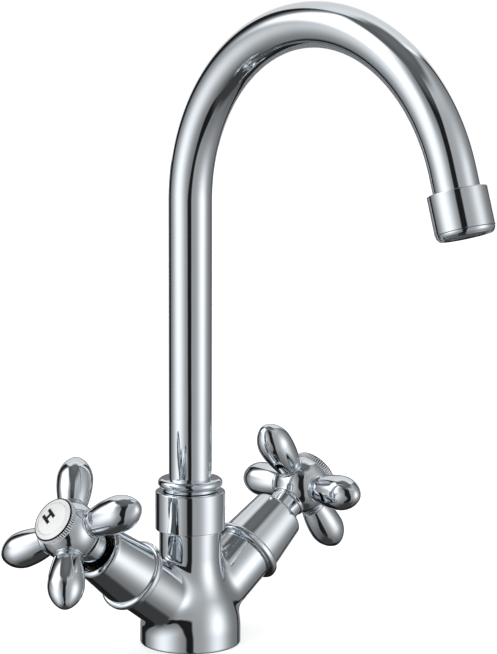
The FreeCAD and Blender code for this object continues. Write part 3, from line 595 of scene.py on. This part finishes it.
def lathe(name, corners, steps=128, closed=True, place=None):
    """Draws half an outline by extruding a point, and spins it round the z axis."""
    points = traced(corners)
    deselect()
    start = (points[0][0], 0, points[0][1])
    bpy.ops.mesh.primitive_plane_add(size=1 * MM, location=start)
    piece = bpy.context.object
    bpy.ops.object.transform_apply(location=True)
    bpy.ops.object.mode_set(mode="EDIT")
    bpy.ops.mesh.select_all(action="SELECT")
    bpy.ops.mesh.merge(type="CENTER")
    path = points[1:] + (points[:1] if closed else [])
    before = points[0]
    for point in path:
        move = (point[0] - before[0], 0, point[1] - before[1])
        bpy.ops.mesh.extrude_region_move(TRANSFORM_OT_translate={"value": move})
        before = point
    weld(0.0001 * MM)
    bpy.ops.mesh.spin(
        steps=steps, angle=2 * math.pi, center=(0, 0, 0), axis=(0, 0, 1), use_auto_merge=True
    )
    weld(0.002 * MM)
    bpy.ops.mesh.dissolve_degenerate(threshold=0.0001 * MM)
    bpy.ops.mesh.normals_make_consistent(inside=False)
    bpy.ops.object.mode_set(mode="OBJECT")
    return settle(piece, name, place)


def arm_frame(side):
    """The frame of one valve arm: z along the arm, x downwards in the arm's upright plane."""
    joint = JOINTS[side + "_valve_turn"]
    along = Vector(joint["axis"]).normalized()
    level = Vector((0, math.copysign(1, along.x), 0))
    down = level.cross(along)
    turn = Matrix((down, level, along)).transposed().to_4x4()
    return Matrix.Translation(Vector(joint["pos_m"])) @ turn


def copy_of(piece):
    made = piece.copy()
    made.data = piece.data.copy()
    bpy.context.collection.objects.link(made)
    return made


def stand_for(piece, node, body, *finishes):
    """A finished piece: what it replaces, what it rides on and what it is made of."""
    give_finish(piece, *(finishes or ("chrome",)))
    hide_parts(node)
    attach(piece, body)


def add_turned(name, corners, node, body, *finishes, **shape):
    """A smooth finished piece that is turned in one go."""
    piece = lathe(name, corners, **shape)
    smooth(piece)
    stand_for(piece, node, body, *finishes)


# Cast body


def bell_corners(sizes):
    """Foot, bell and neck. The bell is a bulging arc that runs into a hollow one."""
    wide, narrow = sizes.foot_radius, sizes.neck_radius
    low, high = sizes.foot_height, sizes.neck_start
    sway = wide - narrow
    both = ((high - low) ** 2 + sway**2) / (2 * sway)
    hollow_share = 0.54
    hollow = both * hollow_share
    meet = (narrow + hollow - (both - sway) * hollow_share, high - (high - low) * hollow_share)
    return [
        (0.0, 0.0),
        *edge_up(wide, 0.0, sizes.foot_edge),
        (wide, low),
        Arc(*meet, both - hollow),
        Arc(narrow, high, hollow, hollow=True),
        (narrow, sizes.body_top),
        (0.0, sizes.body_top),
    ]


def outline_distance(points, across, along):
    """Signed distance of points to a closed outline in a half plane, negative inside."""
    ends = np.array(points)
    starts = np.roll(ends, 1, axis=0)
    nearest = np.full(across.shape, np.inf)
    inside = np.zeros(across.shape, bool)
    for (ax, ay), (bx, by) in zip(starts, ends):
        ex, ey = bx - ax, by - ay
        span = ex * ex + ey * ey
        if span == 0:
            continue
        if ax > 0 or bx > 0:
            share = np.clip(((across - ax) * ex + (along - ay) * ey) / span, 0, 1)
            gap = np.hypot(across - ax - share * ex, along - ay - share * ey)
            nearest = np.minimum(nearest, gap)
        crosses = (ay > along) != (by > along)
        with np.errstate(divide="ignore", invalid="ignore"):
            hit = across < (bx - ax) * (along - ay) / (by - ay) + ax
        inside ^= crosses & hit
    return np.where(inside, -nearest, nearest)


def body_distance(points, sizes, bell, arms):
    """Signed distance to the bell and both branches, softly blended where they meet."""
    near = outline_distance(bell, np.hypot(points[:, 0], points[:, 1]), points[:, 2])
    branches = np.full(len(points), np.inf)
    for start, along in arms:
        offset = points - start
        reach = offset @ along
        away = np.linalg.norm(offset - np.outer(reach, along), axis=1) - sizes.branch_radius
        beyond = np.abs(reach - sizes.branch_end / 2) - sizes.branch_end / 2
        inside = np.minimum(np.maximum(away, beyond), 0)
        outside = np.hypot(np.maximum(away, 0), np.maximum(beyond, 0))
        branches = np.minimum(branches, inside + outside)
    share = np.maximum(sizes.blend - np.abs(near - branches), 0) / sizes.blend
    return np.minimum(near, branches) - share**2 * sizes.blend / 4


def draw_onto_blend(mesh, sizes):
    """Moves a mesh's points down the distance's slope until they lie on the blended surface."""
    flat = np.empty(len(mesh.vertices) * 3)
    mesh.vertices.foreach_get("co", flat)
    points = flat.reshape(-1, 3)
    fine_sagitta = 0.0015 * MM
    outline = traced(bell_corners(sizes), fine_sagitta)
    arms = []
    for side in SIDES:
        placed = arm_frame(side)
        arms.append((np.array(placed.translation), np.array(placed.col[2][:3])))
    nudge, rounds, least_slope = 0.01 * MM, 4, 0.25
    for _ in range(rounds):
        here = body_distance(points, sizes, outline, arms)
        slope = np.empty_like(points)
        for axis in range(3):
            nudged = points.copy()
            nudged[:, axis] += nudge
            slope[:, axis] = (body_distance(nudged, sizes, outline, arms) - here) / nudge
        steep = np.maximum((slope**2).sum(axis=1), least_slope)
        points = points - slope * (here / steep)[:, None]
    deck = 0
    points[:, 2] = np.maximum(points[:, 2], deck)
    mesh.vertices.foreach_set("co", points.ravel())
    mesh.update()


def make_casting(sizes):
    """Bell and branches turned apart, remeshed together and drawn onto one blended surface."""
    bell = lathe("bell", bell_corners(sizes), closed=False)
    branch = box_corners(0.0, sizes.branch_radius, 4 * MM, sizes.branch_end)
    branches = [
        lathe(side + "_branch", branch, closed=False, place=arm_frame(side)) for side in SIDES
    ]
    join([bell, *branches])
    voxel = 0.55 * MM
    modify(bell, "REMESH", mode="VOXEL", voxel_size=voxel, adaptivity=0.0)
    draw_onto_blend(bell.data, sizes)
    return bell


class FAUCET_OT_body(bpy.types.Operator):
    """Adds the cast mixer body"""

    bl_idname = "faucet.body"
    bl_label = "Mixer body"

    def execute(self, context):
        sizes = context.scene.faucet_body
        piece = make_casting(sizes)
        settle(piece, "mixer_body_casting")
        self.cut_underside(sizes, piece)
        shade(piece, 72)
        stand_for(piece, "mixer_body", "base", "cast_chrome")
        return {"FINISHED"}

    def cut_underside(self, sizes, piece):
        """Cuts the seal's groove and the three tapped holes into the foot."""
        below = -1 * MM
        groove = box_corners(sizes.groove_inner, sizes.groove_outer, below, sizes.groove_depth)
        cutters = [lathe("underside_cutter", groove)]
        holes = [mount for mount in frame["record"]["mounts"] if "r_mm" in mount["dims"]]
        for hole in holes:
            radius, depth = hole["dims"]["r_mm"] * MM, hole["dims"]["length_mm"] * MM
            drill = box_corners(0.0, radius, below, depth)
            place = Matrix.Translation(hole["pos_m"])
            name = hole["name"] + "_drill"
            cutters.append(lathe(name, drill, steps=64, closed=False, place=place))
        cut_away(piece, join(cutters))


class FAUCET_OT_collar(bpy.types.Operator):
    """Adds the spout nut and the bead at the foot of the spout"""

    bl_idname = "faucet.collar"
    bl_label = "Spout nut and bead"

    def execute(self, context):
        sizes = context.scene.faucet_body
        tube = context.scene.faucet_spout.tube_radius
        self.nut(sizes, tube + 0.4 * MM)
        self.bead(sizes, tube + 0.05 * MM)
        return {"FINISHED"}

    def nut(self, sizes, bore):
        low, top = sizes.body_top + 0.05 * MM, sizes.nut_top
        inner, web = sizes.neck_radius - 1.3 * MM, top - 2.5 * MM
        add_turned("spout_nut_turned", [
            (inner, low),
            *edge_up(sizes.nut_radius, low, 0.35 * MM),
            *edge_in(sizes.nut_radius, top, 0.7 * MM),
            (bore, top),
            (bore, web),
            (inner, web),
        ], "spout_nut", "base")

    def bead(self, sizes, bore):
        waist, edge = sizes.bead_waist, 0.2 * MM
        foot, start = waist - edge, sizes.nut_top + 0.3 * MM
        low = sizes.bead_height - sizes.bead_thickness / 2
        high = low + sizes.bead_thickness
        add_turned("bead_ring_turned", [
            (bore, start),
            *edge_up(foot, start, edge),
            *edge_in(foot, low - edge, edge),
            (waist, low),
            Arc(waist, high, sizes.bead_bulge),
            (bore, high + edge),
        ], "bead_ring", "spout")


# Spout


def outlet_frame(sizes):
    """The frame at the end of the spout's arc, its z axis along the outlet."""
    sweep = sizes.arc_sweep
    forward = -sizes.arc_radius * (1 - math.cos(sweep))
    height = sizes.arc_height + sizes.arc_radius * math.sin(sweep)
    return Matrix.Translation((0, forward, height)) @ Matrix.Rotation(sweep, 4, "X")


class FAUCET_OT_spout(bpy.types.Operator):
    """Adds the bent spout tube"""

    bl_idname = "faucet.spout"
    bl_label = "Spout tube"

    def execute(self, context):
        sizes = context.scene.faucet_spout
        deselect()
        bpy.ops.mesh.primitive_circle_add(
            vertices=112, radius=sizes.tube_radius, location=(0, 0, sizes.tube_foot)
        )
        piece = context.object
        bpy.ops.object.transform_apply(location=True)
        bpy.ops.object.mode_set(mode="EDIT")
        bpy.ops.mesh.select_all(action="SELECT")
        rings = 6
        rise = (sizes.arc_height - sizes.tube_foot) / rings
        for _ in range(rings):
            bpy.ops.mesh.extrude_region_move(TRANSFORM_OT_translate={"value": (0, 0, rise)})
        bpy.ops.mesh.spin(
            steps=110, angle=-sizes.arc_sweep, axis=(1, 0, 0),
            center=(0, -sizes.arc_radius, sizes.arc_height),
        )
        along = outlet_frame(sizes).to_3x3() @ Vector((0, 0, sizes.tube_end))
        bpy.ops.mesh.extrude_region_move(TRANSFORM_OT_translate={"value": along})
        weld(0.001 * MM)
        bpy.ops.mesh.normals_make_consistent(inside=False)
        bpy.ops.object.mode_set(mode="OBJECT")
        modify(piece, "SOLIDIFY", thickness=sizes.tube_wall, offset=-1)
        settle(piece, "spout_tube_bent")
        smooth(piece)
        stand_for(piece, "spout_tube", "spout")
        return {"FINISHED"}


class FAUCET_OT_nozzle(bpy.types.Operator):
    """Adds the nozzle, the aerator's rim and its screen"""

    bl_idname = "faucet.nozzle"
    bl_label = "Nozzle"

    def execute(self, context):
        sizes = context.scene.faucet_spout
        place = outlet_frame(sizes)
        bore, mouth = 12.0 * MM, 10.4 * MM
        low = sizes.nozzle_start + sizes.nozzle_length
        end = low + sizes.rim_length
        self.sleeve(sizes, place, low, bore)
        self.rim(sizes, place, low, end, bore - 0.6 * MM, mouth)
        self.screen(place, end - 1.1 * MM, mouth)
        return {"FINISHED"}

    def sleeve(self, sizes, place, low, bore):
        top, wide = sizes.nozzle_start, sizes.nozzle_radius
        tube, shelf = sizes.tube_radius + 0.05 * MM, top + 8.0 * MM
        add_turned("nozzle_turned", [
            (tube, top),
            *edge_up(wide, top, 0.5 * MM),
            *edge_in(wide, low, 0.25 * MM),
            (bore, low),
            (bore, shelf),
            (tube, shelf),
        ], "nozzle", "spout", place=place)

    def rim(self, sizes, place, low, end, wall, mouth):
        """The aerator's rounded rim. Wall is its inner radius above, mouth the one below."""
        top, wide, nose = low + 0.1 * MM, sizes.nozzle_radius - 0.2 * MM, sizes.rim_radius
        add_turned("aerator_rim", [
            (wall, top),
            *edge_up(wide, top, 0.2 * MM),
            (wide, low + 0.7 * MM),
            Arc(nose + 0.25 * MM, end - 0.35 * MM, 3.4 * MM),
            Arc(nose - 0.2 * MM, end, 0.5 * MM),
            (nose - 0.7 * MM, end),
            (mouth, end - 0.5 * MM),
            (mouth, end - 2.2 * MM),
            (wall, end - 2.2 * MM),
        ], "aerator_housing", "spout", place=place)

    def screen(self, place, height, radius):
        """A honeycomb of thin walls."""
        deselect()
        pitch = 1.5 * MM
        bpy.ops.mesh.primitive_circle_add(vertices=6, radius=pitch / math.sqrt(3), fill_type="NGON")
        cell = bpy.context.object
        cells = []
        count = int(radius / pitch) + 1
        for row in range(-count, count + 1):
            for column in range(-count - 1, count + 1):
                across = (column + (row % 2) / 2) * pitch
                along = row * pitch * math.sqrt(3) / 2
                if math.hypot(across, along) < radius - pitch * 0.2:
                    made = copy_of(cell)
                    made.location = (across, along, 0)
                    cells.append(made)
        delete(cell)
        grid = join(cells)
        bpy.ops.object.transform_apply(location=True)
        bpy.ops.object.mode_set(mode="EDIT")
        weld(0.02 * MM)
        bpy.ops.mesh.inset(thickness=0.16 * MM, use_individual=True)
        bpy.ops.mesh.delete(type="FACE")
        bpy.ops.object.mode_set(mode="OBJECT")
        grid.location = (0, 0, height)
        settle(grid, "aerator_honeycomb", place)
        modify(grid, "SOLIDIFY", thickness=0.8 * MM, offset=0)
        stand_for(grid, "aerator_screen", "spout", "screen_steel")


# Valves


class FAUCET_OT_valves(bpy.types.Operator):
    """Adds the dress ring and the bonnet cover of each arm"""

    bl_idname = "faucet.valves"
    bl_label = "Dress rings and covers"

    def execute(self, context):
        sizes = context.scene.faucet_valve
        start = context.scene.faucet_body.branch_end
        for side in SIDES:
            self.ring(sizes, side, start)
            self.cover(sizes, side, start)
        return {"FINISHED"}

    def ring(self, sizes, side, start):
        bore, end = 12.5 * MM, start + sizes.ring_thickness
        add_turned(side + "_dress_ring_turned", [
            (bore, start),
            *edge_up(sizes.ring_radius, start, 1.2 * MM),
            *edge_in(sizes.ring_radius, end, 1.6 * MM),
            (bore, end),
        ], side + "_dress_ring", "base", place=arm_frame(side))

    def cover(self, sizes, side, start):
        low, high, shoulder = start + sizes.ring_thickness, sizes.cover_end, sizes.cover_shoulder
        foot, mouth, lip = sizes.cover_foot, sizes.cover_mouth, sizes.mouth_radius
        wall = 2.4 * MM
        add_turned(side + "_cover_turned", [
            (foot - wall, low),
            *edge_up(foot, low, 0.3 * MM),
            (mouth, high - shoulder),
            Arc(mouth - shoulder + 0.5 * MM, high, shoulder * 1.05),
            Arc(lip, high - 0.4 * MM, 0.8 * MM),
            (lip, high - 2.0 * MM),
            Arc(mouth - wall, high - 2.8 * MM, 0.9 * MM, hollow=True),
            (mouth - wall + 0.8 * MM, start + 13.0 * MM),
            (foot - wall, start + 12.0 * MM),
        ], side + "_bonnet_cover", "base", place=arm_frame(side))


# Handles


def handle_frame(sizes, side):
    """The frame of one handle: its arm's, turned until x runs along the first lever."""
    first = sizes.hot_turn if side == "hot" else sizes.cold_turn
    return arm_frame(side) @ Matrix.Rotation(math.pi - first, 4, "Z")


def lever_frame(sizes, index, reach=0.0):
    """The frame of one lever within its handle's, z outwards and starting at a reach."""
    return (
        Matrix.Rotation(-index * math.pi / 2, 4, "Z")
        @ Matrix.Translation((reach, 0, sizes.lever_centre))
        @ Matrix.Rotation(math.pi / 2, 4, "Y")
    )


def front_of(sizes):
    """Distance along the arm to the flat where the index ring sits on the ball."""
    return sizes.ball_centre + math.sqrt(sizes.ball_radius**2 - sizes.front_radius**2)


def hub_corners(sizes):
    """A skirt, a rim and a ball whose front is cut off. The spindle and screw go through."""
    ball, centre, rim = sizes.ball_radius, sizes.ball_centre, sizes.rim_radius
    skirt, skirt_start = sizes.skirt_radius, sizes.skirt_start
    rim_end, front = centre - math.sqrt(ball**2 - rim**2), front_of(sizes)
    rim_start = rim_end - 1.7 * MM
    bore, web = 7.4 * MM, 84.0 * MM
    recess, recess_floor = 9.7 * MM, front - 3.0 * MM
    screw = 4.0 * MM
    return [
        (bore, skirt_start),
        *edge_up(skirt, skirt_start, 0.4 * MM),
        (skirt, rim_start - 0.3 * MM),
        Arc(skirt + 0.3 * MM, rim_start, 0.35 * MM, hollow=True),
        *edge_up(rim, rim_start, 0.3 * MM),
        (rim, rim_end - 0.4 * MM),
        Arc(rim + 0.25 * MM, rim_end + 0.18 * MM, 0.5 * MM, hollow=True),
        Arc(ball, centre, ball),
        Arc(sizes.front_radius, front, ball),
        (recess, front),
        (recess, recess_floor),
        (screw, recess_floor),
        (screw, web),
        (bore, web),
    ]


def lever_corners(sizes):
    """A spigot, a collar, a groove and a teardrop of three tangent arcs."""
    wide, widest = sizes.lever_wide, sizes.lever_radius
    nose, tip = sizes.lever_nose, sizes.lever_tip
    root, start = sizes.lever_root, 15.4 * MM
    swell = widest - root
    flank = ((wide - start) ** 2 + swell**2) / (2 * swell)
    drop = tip - nose - wide
    shoulder = (widest**2 + drop**2 - nose**2) / (2 * (widest - nose))
    share = nose / (shoulder - nose)
    seat, collar = sizes.lever_seat, sizes.lever_collar
    spigot, groove = 2.5 * MM, root - 0.5 * MM
    return [
        (0.0, seat - 2.0 * MM),
        (spigot, seat - 2.0 * MM),
        (spigot, seat),
        *edge_up(collar, seat, 0.25 * MM),
        *edge_in(collar, seat + 0.95 * MM, 0.3 * MM),
        (groove, seat + 1.15 * MM),
        (groove, start - 0.45 * MM),
        Arc(root, start, 0.6 * MM),
        Arc(widest, wide, flank),
        Arc((shoulder - widest) * share, tip - nose + drop * share, shoulder),
        Arc(0.0, tip, nose),
    ]


class FAUCET_OT_hubs(bpy.types.Operator):
    """Adds the ball hub of each handle, with its four lever sockets"""

    bl_idname = "faucet.hubs"
    bl_label = "Handle hubs"

    def execute(self, context):
        sizes = context.scene.faucet_handle
        for side in SIDES:
            piece = lathe(side + "_hub_turned", hub_corners(sizes), steps=160)
            for index in range(LEVERS):
                cut_away(piece, self.socket(sizes, index))
            settle(piece, side + "_hub_turned", handle_frame(sizes, side))
            smooth(piece, 32)
            stand_for(piece, side + "_handle_hub", side + "_handle")
        return {"FINISHED"}

    def socket(self, sizes, index):
        """A drill for one lever's collar, with its end where the collar sits."""
        deselect()
        depth = 6 * MM
        radius = sizes.lever_collar + 0.1 * MM
        bpy.ops.mesh.primitive_cylinder_add(vertices=64, radius=radius, depth=depth)
        drill = bpy.context.object
        drill.matrix_world = lever_frame(sizes, index, sizes.lever_seat + depth / 2)
        return drill


class FAUCET_OT_levers(bpy.types.Operator):
    """Adds the four teardrop levers of each handle"""

    bl_idname = "faucet.levers"
    bl_label = "Levers"

    def execute(self, context):
        sizes = context.scene.faucet_handle
        model = lathe("lever_model", lever_corners(sizes), steps=112, closed=False)
        smooth(model)
        for side in SIDES:
            for index in range(LEVERS):
                name = f"{side}_lever_{index + 1}"
                place = handle_frame(sizes, side) @ lever_frame(sizes, index)
                piece = settle(copy_of(model), name + "_turned", place)
                stand_for(piece, name, side + "_handle")
        delete(model)
        return {"FINISHED"}


class FAUCET_OT_indexes(bpy.types.Operator):
    """Adds the knurled ring, the enamel disc and the letter of each handle"""

    bl_idname = "faucet.indexes"
    bl_label = "Index rings and discs"

    def execute(self, context):
        sizes = context.scene.faucet_handle
        for side, text in zip(SIDES, "HC"):
            self.ring(sizes, side)
            self.disc(sizes, side)
            self.letter(sizes, side, text)
        return {"FINISHED"}

    def knurl_end(self, sizes):
        return front_of(sizes) + sizes.index_height

    def disc_edge(self, sizes):
        """Distance along the arm to the enamel disc's edge, just below the ring's top."""
        return self.knurl_end(sizes) + sizes.index_rise - 0.25 * MM

    def shoulder(self, sizes):
        """Radius of the enamelled shoulder, inside the ring's lip."""
        return sizes.index_radius - 1.1 * MM

    def ring_corners(self, sizes):
        outer, rim = sizes.index_radius, sizes.disc_radius + 0.1 * MM
        face, knurl_end = front_of(sizes), self.knurl_end(sizes)
        top = knurl_end + sizes.index_rise
        floor, foot = top - 1.4 * MM, face - 2.9 * MM
        bore, spigot, groove = 6.5 * MM, 9.6 * MM, outer - 0.45 * MM
        return [
            (bore, foot),
            (spigot, foot),
            (spigot, face),
            (groove, face),
            (groove, face + 0.35 * MM),
            (outer, face + 0.6 * MM),
            (outer, knurl_end - 0.3 * MM),
            (groove, knurl_end - 0.05 * MM),
            (groove + 0.05 * MM, knurl_end + 0.05 * MM),
            Arc(outer - 1.0 * MM, knurl_end + 0.6 * MM, 0.62 * MM),
            (self.shoulder(sizes), knurl_end + 0.5 * MM),
            (rim + 0.3 * MM, top),
            Arc(rim, top - 0.3 * MM, 0.32 * MM),
            (rim, floor),
            (bore, floor),
        ]

    def ring(self, sizes, side):
        name, place = side + "_index_ring", arm_frame(side)
        steps_per_tooth = 6
        piece = lathe(name, self.ring_corners(sizes), steps=sizes.teeth * steps_per_tooth)
        self.knurl(piece, sizes)
        settle(piece, name + "_knurled", place)
        smooth(piece, 32)
        stand_for(piece, name, side + "_handle", *RING_FINISHES)
        self.paint(piece, sizes, place)

    def knurl(self, piece, sizes):
        """Draws the band's points inwards between the teeth."""
        steepness = 1.2
        for vertex in piece.data.vertices:
            across = vertex.co.xy.length
            if across > sizes.index_radius - 0.02 * MM:
                turn = math.atan2(vertex.co.y, vertex.co.x) * sizes.teeth
                dip = min(max(0.5 - steepness * math.cos(turn), 0), 1)
                vertex.co.xy *= 1 - dip * sizes.knurl_depth / across

    def paint(self, piece, sizes, place):
        """Gives the knurl its teeth and painted shade on its notch floors, paints a shadow line onto the lip and
        gives the shoulder enamel.
        """
        _, notch, tooth, enamel = range(len(RING_FINISHES))
        band_end = self.knurl_end(sizes) - 0.05 * MM
        tooth_start = sizes.index_radius - 0.6 * sizes.knurl_depth
        back = place.inverted()
        for polygon in piece.data.polygons:
            centre = back @ polygon.center
            across = centre.xy.length
            if across < sizes.disc_radius:
                continue
            if centre.z < band_end:
                # Notch floors get painted shade, the teeth their own finish.
                polygon.material_index = notch if across < tooth_start else tooth
            else:
                # The lip outside the enamelled shoulder gets a painted shadow line.
                polygon.material_index = enamel if across < self.shoulder(sizes) else notch

    def disc(self, sizes, side):
        edge, radius, dome = self.disc_edge(sizes), sizes.disc_radius, sizes.disc_dome
        low, round_edge = edge - 1.15 * MM, 0.25 * MM
        dome_radius = (radius**2 + dome**2) / (2 * dome)
        add_turned(side + "_disc", [
            (0.0, low),
            (radius, low),
            (radius, edge - 0.2 * MM),
            Arc(radius - round_edge, edge, round_edge),
            Arc(0.0, edge + dome, dome_radius),
        ], side + "_index_disc", side + "_handle", "white_enamel",
            closed=False, place=arm_frame(side))

    def letter(self, sizes, side, text):
        deselect()
        bpy.ops.object.text_add()
        font = bpy.context.object.data
        font.body = text
        font.align_x = "CENTER"
        font.align_y = "CENTER"
        font.size = sizes.letter_size
        font.extrude = 0.12 * MM
        font.offset = 0.42 * MM
        bpy.ops.object.convert(target="MESH")
        place = arm_frame(side)
        aside = math.copysign(sizes.letter_aside, place.col[2].x)
        height = self.disc_edge(sizes) + sizes.disc_dome - 0.05 * MM
        lift = Matrix.Translation((-sizes.letter_rise, aside, height))
        turn = Matrix.Rotation(sizes.letter_turn, 4, "Z")
        mark = settle(bpy.context.object, side + "_letter", place @ lift @ turn)
        give_finish(mark, "ink")
        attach(mark, side + "_handle")


class FAUCET_OT_inner(bpy.types.Operator):
    """Gives every CAD piece that still shows its finish"""

    bl_idname = "faucet.inner"
    bl_label = "Inner pieces"

    def execute(self, context):
        slots = {part["node"]: part["material_slot"] for part in frame["record"]["subparts"]}
        for name, node in frame["nodes"].items():
            give_finish(node, slots[name])
        return {"FINISHED"}


# Stage


def left_panel(across, rise):
    """The soft panel left of the camera: a dim sheet with a bright lobe, and a window behind."""
    end = -7.5 - rise.rises(-24, 4) * 10.8 - rise.size().rises(32, 58) * 17
    panel = across.rises(-130, -118) * (across - end).falls(-2.5, 2.5)
    panel = panel * rise.rises(-78, -48) * rise.falls(52, 62)
    lobe = across.lobe(-65, 22) * rise.lobe(-1, 24) * 0.9
    window = across.rises(-120, -104) * across.falls(-80, -36) * rise.rises(5, 28) * 1.2
    return panel * (0.17 + lobe + window)


def right_panel(across, rise):
    """The soft panel right of the camera: a bright lobe on a sheet that dims down and back."""
    start = 7.5 - rise.rises(-24, 4) * 3.5 + rise.size().rises(25, 62) * 10
    panel = (across - start).rises(-2, 3) * across.falls(136, 141)
    panel = panel * rise.rises(-74, -60) * rise.falls(58, 72)
    sheet = (0.12 + rise.rises(-75, -20) * 0.18) * (1 - across.rises(80, 132) * 0.45)
    lobe = across.lobe(66, 16) * rise.lobe(1, 19) * 0.84
    return panel * (sheet + rise.rises(0, 40) * 0.05 + lobe)


def backdrop(across, rise):
    """The pale backdrop behind the faucet, which is wider at its top."""
    limit = 150 - rise.rises(20, 65) * 24
    panel = (across.size() - limit).rises(-3, 3) * rise.rises(-20, -6) * rise.falls(62, 76)
    return panel * (0.62 + rise.falls(0, 14) * 0.25)


def ceiling_and_ground(rise):
    ceiling = rise.rises(42, 58) * 0.085 + rise.rises(66, 85) * 0.04
    ground = rise.falls(-64, -56) * 0.03
    return ceiling + ground


def build_world(shader, facing):
    """A dark studio painted by direction, for reflections only. All other rays see white.

    Across is the turn from the camera's side and rise the angle above level, both in degrees.
    The factors after the steps and lobes are how bright each is, or how far it shifts an edge.
    """
    direction = shader.value("ShaderNodeTexCoord", {}, output="Generated")
    parts = shader.node("ShaderNodeSeparateXYZ", {}, direction)
    east, north, up = (Value(shader, socket) for socket in parts.outputs)
    degrees = 180 / math.pi
    turned = shader.maths("ARCTAN2", east, 0 - north) * degrees - math.degrees(facing)
    across = shader.maths("WRAP", turned, 180.0, -180.0)
    rise = shader.maths("ARCSINE", up) * degrees
    everywhere, gain = 0.011, 1.22
    light = left_panel(across, rise) + right_panel(across, rise) + backdrop(across, rise)
    light = light + ceiling_and_ground(rise) + everywhere
    glossy = shader.value("ShaderNodeLightPath", {}, output="Is Glossy Ray")
    strength = light * glossy * gain + (1 - glossy)
    background = shader.value("ShaderNodeBackground", {}, (1.0, 1.0, 1.0, 1.0), strength)
    shader.end(background, "ShaderNodeOutputWorld")


class FAUCET_OT_stage(bpy.types.Operator):
    """Adds the floor, the studio and the camera"""

    bl_idname = "faucet.stage"
    bl_label = "Stage"

    def execute(self, context):
        stage, scene = context.scene.faucet_stage, context.scene
        scene.view_settings.view_transform = "Standard"
        self.floor(stage)
        scene.world = bpy.data.worlds.new("studio")
        turn = stage.camera_azimuth
        build_world(Shader(scene.world), turn)
        facing = Vector((math.sin(turn), -math.cos(turn), 0))
        self.card(stage, facing)
        self.camera(stage, facing)
        return {"FINISHED"}

    def floor(self, stage):
        """A white floor that no reflection shows."""
        deselect()
        bpy.ops.mesh.primitive_circle_add(vertices=96, radius=stage.floor_radius, fill_type="NGON")
        floor = bpy.context.object
        floor.name = "floor"
        give_finish(floor, "floor")
        floor.visible_glossy = False

    def card(self, stage, facing):
        """A low grey card behind the faucet, that only its reflections show."""
        deselect()
        bpy.ops.mesh.primitive_plane_add(size=1)
        card = bpy.context.object
        card.name = "grey_card"
        card.dimensions = (stage.card_width, 2 * stage.card_height, 0)
        card.rotation_mode = "QUATERNION"
        card.rotation_quaternion = facing.to_track_quat("Z", "Y")
        card.location = -facing * stage.card_distance
        give_finish(card, "card")
        for ray in ("camera", "diffuse", "transmission", "shadow"):
            setattr(card, "visible_" + ray, False)

    def camera(self, stage, facing):
        pitch = stage.camera_pitch
        back = facing * math.cos(pitch) + Vector((0, 0, math.sin(pitch)))
        up = Vector((0, 0, stage.camera_height))
        bpy.ops.object.camera_add(location=facing * stage.camera_distance + up)
        camera = bpy.context.object
        camera.rotation_mode = "QUATERNION"
        camera.rotation_quaternion = (-back).to_track_quat("-Z", "Y")
        lens = camera.data
        lens.sensor_width = 36.0
        lens.lens = stage.focal_length * lens.sensor_width / PICTURE_HEIGHT
        lens.shift_x = (PICTURE_WIDTH / 2 - stage.centre_across) / PICTURE_HEIGHT
        lens.shift_y = (stage.centre_down - PICTURE_HEIGHT / 2) / PICTURE_HEIGHT
        bpy.context.scene.camera = camera


class FAUCET_PT_panel(bpy.types.Panel):
    """Lists the faucet's pieces in the sidebar"""

    bl_label = "Faucet"
    bl_space_type = "VIEW_3D"
    bl_region_type = "UI"
    bl_category = "Faucet"

    def draw(self, context):
        for piece in OPERATORS:
            self.layout.operator(piece.bl_idname)


GROUPS = {
    "faucet_stage": FaucetStage,
    "faucet_body": FaucetBody,
    "faucet_spout": FaucetSpout,
    "faucet_valve": FaucetValve,
    "faucet_handle": FaucetHandle,
    "faucet_finish": FaucetFinish,
}
OPERATORS = (
    FAUCET_OT_inner,
    FAUCET_OT_body,
    FAUCET_OT_collar,
    FAUCET_OT_spout,
    FAUCET_OT_nozzle,
    FAUCET_OT_valves,
    FAUCET_OT_hubs,
    FAUCET_OT_levers,
    FAUCET_OT_indexes,
    FAUCET_OT_stage,
)


def register():
    for group in GROUPS.values():
        bpy.utils.register_class(group)
    for name, group in GROUPS.items():
        setattr(bpy.types.Scene, name, PointerProperty(type=group))
    for made in (*OPERATORS, FAUCET_PT_panel):
        bpy.utils.register_class(made)


def unregister():
    for made in (FAUCET_PT_panel, *reversed(OPERATORS)):
        bpy.utils.unregister_class(made)
    for name in GROUPS:
        delattr(bpy.types.Scene, name)
    for group in reversed(GROUPS.values()):
        bpy.utils.unregister_class(group)


def main():
    register()
    for made in OPERATORS:
        group, name = made.bl_idname.split(".")
        getattr(getattr(bpy.ops, group), name)()
    deselect()


if __name__ == "__main__":
    main()
